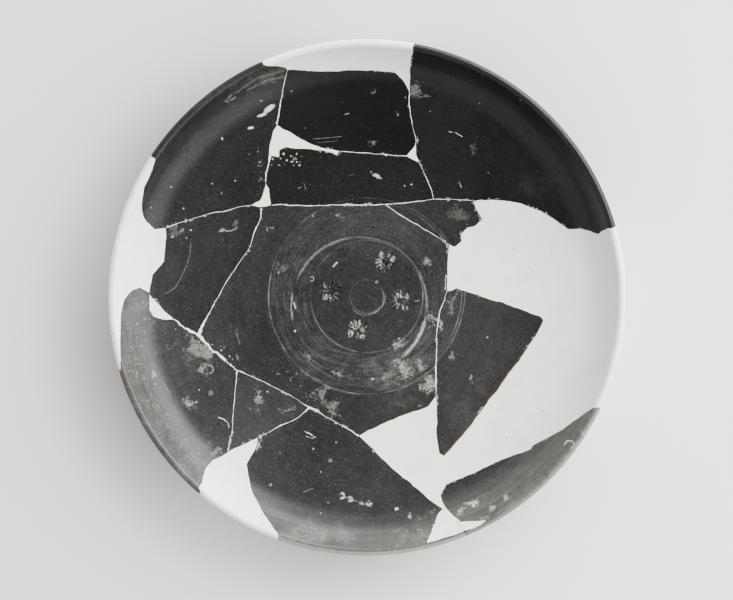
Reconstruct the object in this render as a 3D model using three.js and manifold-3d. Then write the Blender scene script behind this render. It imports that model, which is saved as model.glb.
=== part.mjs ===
// Black-gloss ceramic patera, mended from sherds, its gaps filled with plaster.
// Millimetres, +Z up, origin on the axis at the underside of the ring foot.
// The whole dish is turned first, then it is broken along one network of breaks.

import * as THREE from 'three';
import { mergeVertices } from 'three/addons/utils/BufferGeometryUtils.js';
import Module from 'manifold-3d';

// Turned form
const rimRadius = 140;
const dishHeight = 42;
const lipThickness = 4.4;
const lipLean = 62;
const wallThickness = 5.2;
const floorThickness = 6.5;
const floorRadius = 58;
const turnRadius = 118;
const floorRise = 7.5;

// Ring foot
const footRadius = 40;
const footWidth = 5;
const footHeight = 10;
const footTaper = 1.5;
const recessDepth = 9;

// Incised circles of the medallion
const centreCircleRadius = 9.2;
const innerCircleRadius = 30.9;
const outerCircleRadius = 53.9;
const outerCircleSpacing = 1.6;
const grooveWidth = 1.1;
const grooveDepth = 0.6;

// Stamped palmettes
const palmetteSpots = [
  { turn: 62.5, reach: 22 },
  { turn: 172.5, reach: 20.8 },
  { turn: 255, reach: 19.6 },
  { turn: 351.5, reach: 19.2 },
];
const petalCount = 7;
const petalFan = 150;
const petalLength = 5.4;
const petalWidth = 1.5;
const petalStart = 1.3;
const voluteRadius = 1.6;
const voluteOffset = 3.2;
const stemLength = 4.2;
const stampDepth = 0.5;

// Breaks and repair
const breakGap = 0.3;
const breakFocusRise = 120;
const triangleSherdSlip = 2.3;

// How finely curves are divided
const turnSteps = 52;
const floorSteps = 2;
const wallSteps = 4;

// The breaks were plotted on a picture of the dish, taken from above with its axis a little off
// the line of sight. Picture places are [right, down] in picture steps.
const picture = { axisRight: 367, axisDown: 298.8, rimAcross: 259, rimDown: 257.2 };
const viewDistance = 1600;
const viewShear = 0.055;

// Places where breaks meet
const junctions = {
  rimTopWest: [261, 66],
  rimTopEast: [413.5, 50.5],
  rimEast: [623, 236],
  rimSouthEast: [601, 406.5],
  rimNearSouth: [469.5, 536.5],
  rimSouth: [425, 549.5],
  rimSouthWest: [279, 541],
  rimWestLow: [206.5, 502],
  rimWest: [122, 381],
  rimNorthWest: [156, 160],
  topWest: [287.5, 73],
  topEast: [408.8, 98],
  wedgeTop: [276.8, 127],
  wedgeEast: [341, 152.8],
  wedgeSouth: [267.3, 169],
  cornerTop: [415, 141],
  cornerWest: [406.5, 157.3],
  cornerSouth: [419.5, 164.5],
  eastBend: [434, 200],
  westTop: [266, 184],
  westLeft: [252, 206.3],
  westRight: [271.5, 206],
  westFoot: [262, 208.5],
  leftShoulder: [166.5, 229],
  scallopWest: [384, 206],
  scallopEast: [473, 201.5],
  scallopFoot: [449, 245],
  triangleTop: [446.5, 292.5],
  triangleWest: [437, 394],
  longCrackWest: [149.5, 293],
  notchEast: [174.5, 319.3],
  longCrackFork: [199, 336],
  smallTriangleWest: [237.6, 370.7],
  smallTriangleEast: [309, 407.5],
  longCrackEast: [358.5, 435.6],
  lowerGapWest: [228, 451.3],
  lowerGapEast: [258.5, 436.5],
  southGate: [441.5, 508.5],
  southGateEast: [447.5, 509],
  lipWest: [426.7, 542.7],
  lipEast: [464.1, 530.5],
};

// Each break runs from one junction to another through its bends
const breaks = {
  topFillWest: ['rimTopWest', [267, 68.5], [283, 69.5], 'topWest'],
  topFillSouth: [
    'topWest', [297, 72.5], [325, 74.3], [380, 73.3], [395, 75], [402, 82], [406.5, 90], 'topEast',
  ],
  topFillEast: ['topEast', [409.3, 80], [410.3, 62], 'rimTopEast'],
  northWestCrack: ['topWest', [284.2, 90], [281, 104], [278.5, 120], 'wedgeTop'],
  wedgeNorth: ['wedgeTop', [300, 139.5], [310, 144.5], [325, 150], 'wedgeEast'],
  wedgeWest: ['wedgeTop', [273, 134], [269.5, 148], 'wedgeSouth'],
  wedgeSouthEdge: [
    'wedgeSouth', [272, 158], [279, 159], [279.5, 152], [286, 148.7], [320, 151], [338, 157.5], 'wedgeEast',
  ],
  upperMiddleCrack: ['wedgeEast', [360, 154.7], [385, 156.3], 'cornerWest'],
  cornerNorth: ['cornerWest', [413, 149], 'cornerTop'],
  northEastCrack: ['topEast', [409.3, 112], [411, 123], 'cornerTop'],
  cornerEast: ['cornerTop', [416.2, 155], 'cornerSouth'],
  cornerSouthWest: ['cornerWest', [411, 160.3], 'cornerSouth'],
  eastCrack: ['cornerSouth', [424, 175], [430.5, 189], 'eastBend'],
  westCrackUpper: ['wedgeSouth', [265.6, 176], 'westTop'],
  westJunctionWest: ['westTop', [264.8, 193], [260.5, 201], 'westLeft'],
  westJunctionEast: ['westTop', [270.5, 190], 'westRight'],
  westJunctionSouthWest: ['westLeft', 'westFoot'],
  westJunctionSouthEast: ['westFoot', 'westRight'],
  leftHorizontalCrack: ['westLeft', [220, 212], [184, 222.5], 'leftShoulder'],
  fillLeftNorth: [
    'leftShoulder', [155, 230.5], [145, 217.5], [142, 208], [145, 188], [151, 176], 'rimNorthWest',
  ],
  fillLeftSouth: ['leftShoulder', [167, 240], [164, 262], [153, 275], 'longCrackWest'],
  curvedCrack: [
    'westFoot', [261.5, 217], [256.5, 229], [249, 250], [220, 293], [203, 323], 'longCrackFork',
  ],
  notchNorth: ['longCrackWest', [155, 300], 'notchEast'],
  notchSouth: ['longCrackWest', [149.3, 311], [153.5, 317], [165, 320.3], 'notchEast'],
  longCrackA: ['notchEast', [187, 330], 'longCrackFork'],
  longCrackB: ['longCrackFork', [208.5, 345], 'smallTriangleWest'],
  longCrackC: ['smallTriangleWest', [253, 377], [293.7, 395.7], 'smallTriangleEast'],
  longCrackD: ['smallTriangleEast', [321.5, 412.4], 'longCrackEast'],
  fillLeftRimSouth: [
    'longCrackWest', [140, 287], [132, 291], [124.5, 300], [121, 315], [120.6, 354], 'rimWest',
  ],
  smallTriangleWestCrack: ['smallTriangleWest', [234, 409.6], 'lowerGapWest'],
  smallTriangleSouthCrack: ['smallTriangleEast', [293.7, 418.9], [275.2, 428.5], 'lowerGapEast'],
  lowerGapNorth: ['lowerGapWest', [241.9, 443.9], 'lowerGapEast'],
  lowerGapWestSide: ['lowerGapWest', [207, 462], [201, 478], [198.5, 488.3], 'rimWestLow'],
  lowerGapEastSide: [
    'lowerGapEast', [257.3, 446], [246.3, 463.3], [247.4, 476.3], [260.4, 507.8], 'rimSouthWest',
  ],
  horizontalCrackMiddle: ['westRight', [350, 206.5], 'scallopWest'],
  horizontalCrackEast: ['scallopWest', [410, 203], 'eastBend'],
  horizontalCrackFar: ['eastBend', 'scallopEast'],
  scallopSouthWest: ['scallopWest', [400, 215.5], [430, 232.7], 'scallopFoot'],
  scallopEdge: [
    'scallopEast', [475.5, 211], [481.5, 221], [475, 227.5], [468, 228.5],
    [461, 235], [461.5, 242], [455, 247], 'scallopFoot',
  ],
  fillRightNorth: [
    'scallopEast', [500, 201], [520, 204.5], [540, 211.5], [567, 228.5],
    [590, 231], [598, 234], [607, 227.5], [614, 228], 'rimEast',
  ],
  centreEast: ['scallopFoot', [446.8, 262], [447.6, 275], 'triangleTop'],
  triangleCrack: ['triangleTop', [442, 305], [438.3, 320], [436.6, 362], 'triangleWest'],
  triangleEdge: [
    'triangleTop', [457, 288.3], [463, 291.3], [499.6, 302.5], [538, 316], [542.6, 320], [540, 327],
    [518, 361.5], [453.3, 446.7], [444, 455], [439, 452], [437.6, 444.8], 'triangleWest',
  ],
  centreSouth: ['triangleWest', [429.5, 404.5], [407, 412.4], [370, 429], 'longCrackEast'],
  bottomEast: ['longCrackEast', [388.5, 465], 'southGate'],
  fillBottomWest: ['southGate', [436, 515], [433.5, 524], 'lipWest'],
  southGateCrack: ['southGate', 'southGateEast'],
  fillBottomEast: ['southGateEast', [462.6, 520.7], [487, 520], [478, 527], 'lipEast'],
  lipInner: ['lipWest', [435, 540.5], [445, 537.5], [455, 534], 'lipEast'],
  lipCrackWest: ['lipWest', 'rimSouth'],
  lipCrackEast: ['lipEast', 'rimNearSouth'],
  lowerRightNorth: [
    'southGateEast', [444, 504.5], [441.3, 495], [447, 484.5], [507, 456.9],
    [531, 449], [533, 444.8], [583, 414.3], [595, 407], 'rimSouthEast',
  ],
};

// Each piece is bounded by its breaks, in order and counter-clockwise.
// One that reaches the rim starts and ends there.
const sherdOutlines = {
  sherd_upper_left: [
    'fillLeftNorth', 'leftHorizontalCrack', 'westJunctionWest', 'westCrackUpper', 'wedgeWest',
    'northWestCrack', 'topFillWest',
  ],
  sherd_upper_middle: [
    'northWestCrack', 'wedgeNorth', 'upperMiddleCrack', 'cornerNorth', 'northEastCrack', 'topFillSouth',
  ],
  sherd_middle: [
    'wedgeSouthEdge', 'upperMiddleCrack', 'cornerSouthWest', 'eastCrack', 'horizontalCrackEast',
    'horizontalCrackMiddle', 'westJunctionEast', 'westCrackUpper',
  ],
  sherd_upper_right: [
    'topFillEast', 'northEastCrack', 'cornerEast', 'eastCrack', 'horizontalCrackFar', 'fillRightNorth',
  ],
  sherd_scalloped: ['horizontalCrackEast', 'horizontalCrackFar', 'scallopEdge', 'scallopSouthWest'],
  sherd_centre: [
    'horizontalCrackMiddle', 'scallopSouthWest', 'centreEast', 'triangleCrack', 'centreSouth',
    'longCrackD', 'longCrackC', 'longCrackB', 'curvedCrack', 'westJunctionSouthEast',
  ],
  sherd_left: [
    'leftHorizontalCrack', 'fillLeftSouth', 'notchNorth', 'longCrackA', 'curvedCrack',
    'westJunctionSouthWest',
  ],
  sherd_lower_left: [
    'lowerGapWestSide', 'smallTriangleWestCrack', 'longCrackB', 'longCrackA', 'notchSouth',
    'fillLeftRimSouth',
  ],
  sherd_small_triangle: [
    'longCrackC', 'smallTriangleSouthCrack', 'lowerGapNorth', 'smallTriangleWestCrack',
  ],
  sherd_bottom: [
    'lipCrackWest', 'fillBottomWest', 'bottomEast', 'longCrackD', 'smallTriangleSouthCrack',
    'lowerGapEastSide',
  ],
  sherd_right_triangle: ['triangleCrack', 'triangleEdge'],
  sherd_lower_right: ['lowerRightNorth', 'fillBottomEast', 'lipCrackEast'],
  sherd_lip: ['lipCrackEast', 'lipInner', 'lipCrackWest'],
};
const fillOutlines = {
  fill_top_rim: ['topFillWest', 'topFillSouth', 'topFillEast'],
  fill_left_rim: ['fillLeftRimSouth', 'fillLeftSouth', 'fillLeftNorth'],
  fill_right: [
    'fillRightNorth', 'scallopEdge', 'centreEast', 'triangleEdge', 'centreSouth', 'bottomEast',
    'southGateCrack', 'lowerRightNorth',
  ],
  fill_lower_left: ['lowerGapEastSide', 'lowerGapNorth', 'lowerGapWestSide'],
  fill_bottom_rim: ['fillBottomEast', 'southGateCrack', 'fillBottomWest', 'lipInner'],
  fill_left_notch: ['notchNorth', 'notchSouth'],
  fill_upper_wedge: ['wedgeNorth', 'wedgeSouthEdge', 'wedgeWest'],
  fill_west_junction: [
    'westJunctionWest', 'westJunctionSouthWest', 'westJunctionSouthEast', 'westJunctionEast',
  ],
  fill_east_junction: ['cornerNorth', 'cornerEast', 'cornerSouthWest'],
};

const wasm = await Module();
wasm.setup();

// Heights that follow from the sizes above
const floorLevel = footHeight + floorThickness;
const turnLevel = floorLevel + floorRise;
const focusHeight = dishHeight + breakFocusRise;
const cutMargin = 5;
const beyondRim = 1.12;

// The lip is a half round on the end of the wall
const lean = THREE.MathUtils.degToRad(lipLean);
const lipCentre = new THREE.Vector2(rimRadius - lipThickness / 2, dishHeight - lipThickness / 2);

function lipPoint(angle) {
  return new THREE.Vector2(
    lipCentre.x + (lipThickness / 2) * Math.cos(angle),
    lipCentre.y + (lipThickness / 2) * Math.sin(angle),
  );
}

// Inside face from the edge of the flat floor up to the lip
function innerSweep() {
  const floorEdge = new THREE.Vector2(floorRadius, floorLevel);
  const turn = new THREE.Vector2(turnRadius, turnLevel);
  const lipStart = lipPoint(lean + Math.PI / 2);
  const dishing = new THREE.Vector2((floorRadius + turnRadius) / 2, floorLevel);
  const floorSlope = (turn.y - dishing.y) / (turn.x - dishing.x);
  const lipSlope = Math.tan(lean);
  const shoulderReach = (lipStart.y - turn.y - lipSlope * (lipStart.x - turn.x)) / (floorSlope - lipSlope);
  const shoulder = new THREE.Vector2(turn.x + shoulderReach, turn.y + floorSlope * shoulderReach);
  const floorCurve = new THREE.QuadraticBezierCurve(floorEdge, dishing, turn);
  const wallCurve = new THREE.QuadraticBezierCurve(turn, shoulder, lipStart);
  return [...floorCurve.getPoints(floorSteps), ...wallCurve.getPoints(wallSteps).slice(1)];
}

// Outside face: the inside face moved outward by the wall, which thins towards the lip
function outerSweep(inner) {
  return inner.map((point, index) => {
    const before = inner[Math.max(index - 1, 0)];
    const after = inner[Math.min(index + 1, inner.length - 1)];
    const along = new THREE.Vector2().subVectors(after, before).normalize();
    if (index === 0) along.set(1, 0);
    if (index === inner.length - 1) along.set(Math.cos(lean), Math.sin(lean));
    const thickness = index <= floorSteps
      ? THREE.MathUtils.lerp(floorThickness, wallThickness, index / floorSteps)
      : THREE.MathUtils.lerp(wallThickness, lipThickness, (index - floorSteps) / wallSteps);
    return new THREE.Vector2(point.x + along.y * thickness, point.y - along.x * thickness);
  });
}

// A V groove turned into the floor, from its inner edge to its outer edge
function groove(radius) {
  return [
    new THREE.Vector2(radius - grooveWidth / 2, floorLevel),
    new THREE.Vector2(radius, floorLevel - grooveDepth),
    new THREE.Vector2(radius + grooveWidth / 2, floorLevel),
  ];
}

const inner = innerSweep();
const innerFace = [
  new THREE.Vector2(0, floorLevel),
  ...groove(centreCircleRadius),
  ...groove(innerCircleRadius),
  ...groove(outerCircleRadius - outerCircleSpacing),
  ...groove(outerCircleRadius),
  ...inner,
];
const lip = [0.7, 0.5, 0.25, 0].map((share) => lipPoint(share * Math.PI));
const outerFace = outerSweep(inner).reverse();
const foot = [
  new THREE.Vector2(footRadius - footTaper, footHeight),
  new THREE.Vector2(footRadius, 0),
  new THREE.Vector2(footRadius - footWidth, 0),
  new THREE.Vector2(footRadius - footWidth - footTaper, recessDepth),
];
const profile = [...innerFace, ...lip, ...outerFace, ...foot, new THREE.Vector2(0, recessDepth)];

// A closed geometry becomes a solid: shared vertices merged, empty triangles dropped
function solidFrom(geometry) {
  const bare = geometry.clone();
  bare.deleteAttribute('normal');
  bare.deleteAttribute('uv');
  const merged = mergeVertices(bare, 1e-4);
  const corners = merged.index.array;
  const triangles = [];
  for (let i = 0; i < corners.length; i += 3) {
    const [a, b, c] = [corners[i], corners[i + 1], corners[i + 2]];
    if (a !== b && b !== c && c !== a) triangles.push(a, b, c);
  }
  return new wasm.Manifold(new wasm.Mesh({
    numProp: 3,
    vertProperties: new Float32Array(merged.attributes.position.array),
    triVerts: new Uint32Array(triangles),
  }));
}

// The whole unbroken dish, moved along Y
function turnedDish(shiftY) {
  const turned = new THREE.LatheGeometry(profile.slice().reverse(), turnSteps);
  turned.rotateX(Math.PI / 2);
  turned.translate(0, shiftY, 0);
  return solidFrom(turned);
}

// A pit of the given outline, pressed into the floor
function pressedPit(outline) {
  const pit = new THREE.ExtrudeGeometry(new THREE.Shape(outline), {
    depth: stampDepth + cutMargin,
    bevelEnabled: false,
  });
  pit.translate(0, 0, floorLevel - stampDepth);
  return solidFrom(pit);
}

// One palmette: petals fanned towards the axis, a volute on each side and a stem outwards
function palmette({ turn, reach }) {
  const place = (x, y) => {
    const spot = new THREE.Vector2(reach - x, y);
    return spot.rotateAround(new THREE.Vector2(), THREE.MathUtils.degToRad(turn));
  };
  const leaf = (start, length, width, angle) => {
    const [c, s] = [Math.cos(angle), Math.sin(angle)];
    const sides = [[0, 0], [0.65, -0.5], [1, 0], [0.65, 0.5]];
    return sides.map(([along, across]) => {
      const x = start + along * length;
      const y = across * width;
      return place(x * c - y * s, x * s + y * c);
    });
  };
  const fan = THREE.MathUtils.degToRad(petalFan);
  const outlines = [];
  for (let i = 0; i < petalCount; i += 1) {
    const angle = -fan / 2 + (i * fan) / (petalCount - 1);
    const length = petalLength * (0.75 + 0.25 * Math.cos(angle));
    outlines.push(leaf(petalStart, length, petalWidth, angle));
  }
  for (const side of [-1, 1]) {
    const curl = [];
    for (let i = 0; i < 6; i += 1) {
      const angle = (i * Math.PI) / 3;
      const x = -1.4 * voluteRadius + voluteRadius * Math.cos(angle);
      curl.push(place(x, side * voluteOffset + voluteRadius * Math.sin(angle)));
    }
    outlines.push(curl);
  }
  outlines.push(leaf(0.4, stemLength, petalWidth, Math.PI));
  return outlines.map(pressedPit);
}

// Height of the inside face at a distance from the axis
function insideHeight(radius) {
  for (let i = 1; i < inner.length; i += 1) {
    if (radius < inner[i].x) {
      const share = (radius - inner[i - 1].x) / (inner[i].x - inner[i - 1].x);
      return THREE.MathUtils.lerp(inner[i - 1].y, inner[i].y, Math.max(share, 0));
    }
  }
  return dishHeight;
}

// Breaks run square to the wall, so every break plane passes through one focus above the dish.
// A picture place becomes the point where its break plane meets the rim's level.
function atRimLevel([right, down]) {
  const x = ((right - picture.axisRight) * rimRadius) / picture.rimAcross;
  const y = ((picture.axisDown - down) * rimRadius) / picture.rimDown;
  const spot = new THREE.Vector2(x, y);
  let depth = 0;
  for (let i = 0; i < 4; i += 1) {
    depth = dishHeight - insideHeight(spot.length());
    const spread = 1 + depth / viewDistance;
    spot.set(x * spread, y * spread - depth * viewShear);
  }
  return spot.multiplyScalar(breakFocusRise / (breakFocusRise + depth));
}

function reachesRim(junction) {
  return junction.startsWith('rim');
}

// A break as points from one end to the other, run on past the rim where it reaches it
function breakLine(name) {
  const places = breaks[name];
  const ends = [places[0], places.at(-1)];
  const points = places.map((place) => atRimLevel(typeof place === 'string' ? junctions[place] : place));
  if (reachesRim(ends[0])) points.unshift(points[0].clone().setLength(rimRadius * beyondRim));
  if (reachesRim(ends[1])) points.push(points.at(-1).clone().setLength(rimRadius * beyondRim));
  return { ends, points };
}

// A flat outline at the rim's level becomes a wedge whose sides all point at the focus
function wedgeFromFocus(outline) {
  const wedge = new THREE.ExtrudeGeometry(new THREE.Shape(outline), {
    depth: dishHeight + 2 * cutMargin,
    bevelEnabled: false,
  });
  wedge.translate(0, 0, -cutMargin);
  const position = wedge.attributes.position;
  for (let i = 0; i < position.count; i += 1) {
    const scale = (focusHeight - position.getZ(i)) / breakFocusRise;
    position.setXY(i, position.getX(i) * scale, position.getY(i) * scale);
  }
  return solidFrom(wedge);
}

// The narrow ribbon along a break, as wide as the gap between two pieces
function gapOutline(points) {
  const left = [];
  const right = [];
  points.forEach((point, index) => {
    const before = points[Math.max(index - 1, 0)];
    const after = points[Math.min(index + 1, points.length - 1)];
    const incoming = new THREE.Vector2().subVectors(point, before).normalize();
    const outgoing = new THREE.Vector2().subVectors(after, point).normalize();
    const along = new THREE.Vector2().addVectors(incoming, outgoing).normalize();
    const mitre = Math.max(along.dot(index === 0 ? outgoing : incoming), 0.4);
    const across = new THREE.Vector2(-along.y, along.x).multiplyScalar(breakGap / 2 / mitre);
    const end = point.clone();
    if (index === 0) end.addScaledVector(along, -breakGap / 2);
    if (index === points.length - 1) end.addScaledVector(along, breakGap / 2);
    left.push(end.clone().add(across));
    right.push(end.clone().sub(across));
  });
  return [...left, ...right.reverse()];
}

// The end of a piece's first break that the next break doesn't carry on from
function startOf([first, second]) {
  const [from, to] = first.ends;
  if (reachesRim(from)) return from;
  if (reachesRim(to)) return to;
  return second.ends.includes(to) ? from : to;
}

// The closed outline of a piece, from its breaks and, for a rim piece, an arc outside the rim
function pieceOutline(names) {
  const lines = names.map(breakLine);
  const start = startOf(lines);
  const outline = [];
  let place = start;
  for (const { ends, points } of lines) {
    const forward = ends[0] === place;
    const run = forward ? points : points.slice().reverse();
    if (outline.length === 0) outline.push(run[0]);
    outline.push(...run.slice(1));
    place = forward ? ends[1] : ends[0];
  }
  if (place === start) outline.pop();
  else outline.push(...arcBetween(outline.at(-1), outline[0]));
  return outline;
}

// Points between two places on the circle outside the rim, counter-clockwise
function arcBetween(from, to) {
  const sweep = THREE.MathUtils.euclideanModulo(to.angle() - from.angle(), 2 * Math.PI);
  const steps = Math.ceil(sweep / THREE.MathUtils.degToRad(10));
  const arc = [];
  for (let i = 1; i < steps; i += 1) {
    arc.push(from.clone().rotateAround(new THREE.Vector2(), (sweep * i) / steps));
  }
  return arc;
}

// The main body of a cut, without crumbs at its tips
function largest(solids) {
  return solids.reduce((best, solid) => (solid.volume() > best.volume() ? solid : best));
}

function meshFrom(solid, name, material) {
  const { vertProperties, triVerts } = solid.getMesh();
  const geometry = new THREE.BufferGeometry();
  geometry.setAttribute('position', new THREE.BufferAttribute(new Float32Array(vertProperties), 3));
  geometry.setIndex(new THREE.BufferAttribute(new Uint32Array(triVerts), 1));
  geometry.computeVertexNormals();
  const mesh = new THREE.Mesh(geometry, material);
  mesh.name = name;
  return mesh;
}

const blackGloss = new THREE.MeshStandardMaterial({ color: 0x1c1b1a, roughness: 0.32, flatShading: true });
const plaster = new THREE.MeshStandardMaterial({ color: 0xe4e1d8, roughness: 0.85, flatShading: true });

function gapAlong(name) {
  return wedgeFromFocus(gapOutline(breakLine(name).points));
}

const gaps = wasm.Manifold.union(Object.keys(breaks).map(gapAlong));
const stamps = wasm.Manifold.union(palmetteSpots.flatMap(palmette));
const brokenDish = turnedDish(0).subtract(stamps).subtract(gaps);
// The right triangle sherd was set a little too high when the dish was mended
const slippedDish = turnedDish(triangleSherdSlip).subtract(gaps);

function piece(name, outline, material) {
  const dish = name === 'sherd_right_triangle' ? slippedDish : brokenDish;
  const solid = largest(dish.intersect(wedgeFromFocus(pieceOutline(outline))).decompose());
  return meshFrom(solid, name, material);
}

const patera = new THREE.Group();
for (const [name, outline] of Object.entries(sherdOutlines)) {
  patera.add(piece(name, outline, blackGloss));
}
for (const [name, outline] of Object.entries(fillOutlines)) {
  patera.add(piece(name, outline, plaster));
}

export default patera;
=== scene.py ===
"""Looks of a black-gloss patera, mended from sherds, its gaps filled with plaster.

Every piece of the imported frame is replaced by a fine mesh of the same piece. The whole dish is
turned first, with its incised circles, rouletting and stamps, and is then cut along the breaks
of the frame's own pieces. Lengths are in millimetres until a mesh is made in metres.
"""

import logging
import math
from dataclasses import dataclass, field
from enum import Enum

import bpy
import numpy as np
from mathutils import Matrix, Vector, kdtree


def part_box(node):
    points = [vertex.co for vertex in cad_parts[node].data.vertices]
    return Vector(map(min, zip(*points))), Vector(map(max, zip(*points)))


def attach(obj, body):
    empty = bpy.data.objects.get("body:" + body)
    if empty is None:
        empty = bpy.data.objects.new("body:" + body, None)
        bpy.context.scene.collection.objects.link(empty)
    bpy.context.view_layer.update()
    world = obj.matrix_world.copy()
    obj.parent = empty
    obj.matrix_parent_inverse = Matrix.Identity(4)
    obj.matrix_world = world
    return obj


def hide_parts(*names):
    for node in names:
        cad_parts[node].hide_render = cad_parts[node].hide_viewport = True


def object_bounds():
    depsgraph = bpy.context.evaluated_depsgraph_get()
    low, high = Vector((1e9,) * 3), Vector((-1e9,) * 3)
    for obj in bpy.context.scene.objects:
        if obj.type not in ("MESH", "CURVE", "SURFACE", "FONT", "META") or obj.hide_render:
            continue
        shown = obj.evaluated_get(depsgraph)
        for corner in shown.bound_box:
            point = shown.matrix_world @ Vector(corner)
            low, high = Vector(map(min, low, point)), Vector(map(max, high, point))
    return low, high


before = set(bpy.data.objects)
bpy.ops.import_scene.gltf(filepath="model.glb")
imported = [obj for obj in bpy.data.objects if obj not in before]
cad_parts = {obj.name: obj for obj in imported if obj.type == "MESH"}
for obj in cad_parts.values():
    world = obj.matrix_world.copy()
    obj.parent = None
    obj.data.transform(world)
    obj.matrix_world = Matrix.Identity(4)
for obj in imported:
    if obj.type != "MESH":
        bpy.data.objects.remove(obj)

cad_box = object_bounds()
log = logging.getLogger("patera")

MM = 0.001
SHERD_PREFIX = "sherd_"
SLIPPED_SHERD = "sherd_right_triangle"

Place = tuple[float, float]


class Slot(Enum):
    """Material slots of the record."""

    GLOSS = "black_gloss"
    PLASTER = "plaster"


class Side(Enum):
    """Faces of the dish that a seam can show on."""

    INSIDE = "inside"
    OUTSIDE = "outside"


def lattice_noise(points: np.ndarray, wavelength: float, seed: int) -> np.ndarray:
    """Smooth noise between -1 and 1 that depends only on where a point is.

    Args:
        points: Rows of two or three coordinates.
        wavelength: Spacing of the lattice that the noise is drawn on.
        seed: Which noise to give.

    Returns:
        One value for each row.
    """
    scaled = np.asarray(points, float) / wavelength
    cell = np.floor(scaled).astype(np.int64)
    share = scaled - cell
    share = share * share * (3 - 2 * share)
    axes = scaled.shape[1]
    total = np.zeros(len(scaled))
    for corner in np.ndindex(*(2,) * axes):
        mixed = np.full(len(scaled), seed * 668265263 + 374761393, np.int64)
        weight = np.ones(len(scaled))
        for axis, step in enumerate(corner):
            mixed = ((mixed ^ (cell[:, axis] + step)) * 1274126177) & 0xFFFFFFFF
            mixed ^= mixed >> 15
            weight *= share[:, axis] if step else 1 - share[:, axis]
        total += weight * (mixed & 0xFFFF) / 0x7FFF
    return total - 1


def smooth_step(low: float, high: float, value: np.ndarray) -> np.ndarray:
    """Rises smoothly from 0 at low to 1 at high; low may be the greater of the two."""
    share = np.clip((value - low) / (high - low), 0, 1)
    return share * share * (3 - 2 * share)


def on_circle(radius: float, degrees: float) -> np.ndarray:
    """The point of a circle round the axis at an angle from +X."""
    angle = math.radians(degrees)
    return np.array([radius * math.cos(angle), radius * math.sin(angle)])


def bezier(start: np.ndarray, bend: np.ndarray, end: np.ndarray, steps: int) -> np.ndarray:
    """A quadratic curve as points, both ends included."""
    t = np.linspace(0, 1, steps + 1)[:, None]
    return (1 - t) ** 2 * start + 2 * t * (1 - t) * bend + t**2 * end


def normals_of(points: np.ndarray) -> np.ndarray:
    """Unit normals to the left of a line of points."""
    along = np.gradient(points, axis=0)
    along /= np.linalg.norm(along, axis=1)[:, None]
    return np.column_stack([-along[:, 1], along[:, 0]])


def mesh_in_metres(name: str, points: np.ndarray, faces: list[np.ndarray]) -> bpy.types.Mesh:
    """Makes a mesh from points in millimetres.

    Args:
        name: The mesh's name.
        points: Rows of x, y, z.
        faces: Arrays of vertex numbers, one row a face, or one flat array for a single face.

    Returns:
        The mesh, in metres.
    """
    rows = [np.atleast_2d(array) for array in faces if len(array)]
    loops = np.concatenate([array.ravel() for array in rows])
    sizes = np.concatenate([np.full(len(array), array.shape[1]) for array in rows])
    starts = np.concatenate([[0], np.cumsum(sizes)[:-1]])
    mesh = bpy.data.meshes.new(name)
    mesh.vertices.add(len(points))
    mesh.vertices.foreach_set("co", (points * MM).astype(np.float32).ravel())
    mesh.loops.add(len(loops))
    mesh.loops.foreach_set("vertex_index", loops.astype(np.int32))
    mesh.polygons.add(len(starts))
    mesh.polygons.foreach_set("loop_start", starts.astype(np.int32))
    mesh.update(calc_edges=True)
    return mesh


def tube_faces(rows: int, across: int) -> np.ndarray:
    """Quads that join rows of points into an open tube, each row a closed loop."""
    first = np.arange(across)
    after = np.roll(first, -1)
    steps = np.arange(rows - 1)[:, None] * across
    quads = [first + steps, first + steps + across, after + steps + across, after + steps]
    return np.stack(quads, axis=2).reshape(-1, 4)


def largest_island(mesh: bpy.types.Mesh) -> None:
    """Removes every loose crumb of a mesh, so that its main body is left."""
    count = len(mesh.vertices)
    ends = np.empty(len(mesh.edges) * 2, np.int32)
    mesh.edges.foreach_get("vertices", ends)
    ends = ends.reshape(-1, 2)
    label = np.arange(count)
    while True:
        least = label.copy()
        np.minimum.at(least, ends[:, 0], label[ends[:, 1]])
        np.minimum.at(least, ends[:, 1], label[ends[:, 0]])
        least = least[least]
        if np.array_equal(least, label):
            break
        label = least
    labels, sizes = np.unique(label, return_counts=True)
    if len(labels) == 1:
        return
    import bmesh

    body = labels[np.argmax(sizes)]
    work = bmesh.new()
    work.from_mesh(mesh)
    work.verts.ensure_lookup_table()
    crumbs = [work.verts[index] for index in np.flatnonzero(label != body)]
    bmesh.ops.delete(work, geom=crumbs, context="VERTS")
    work.to_mesh(mesh)
    work.free()


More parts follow.
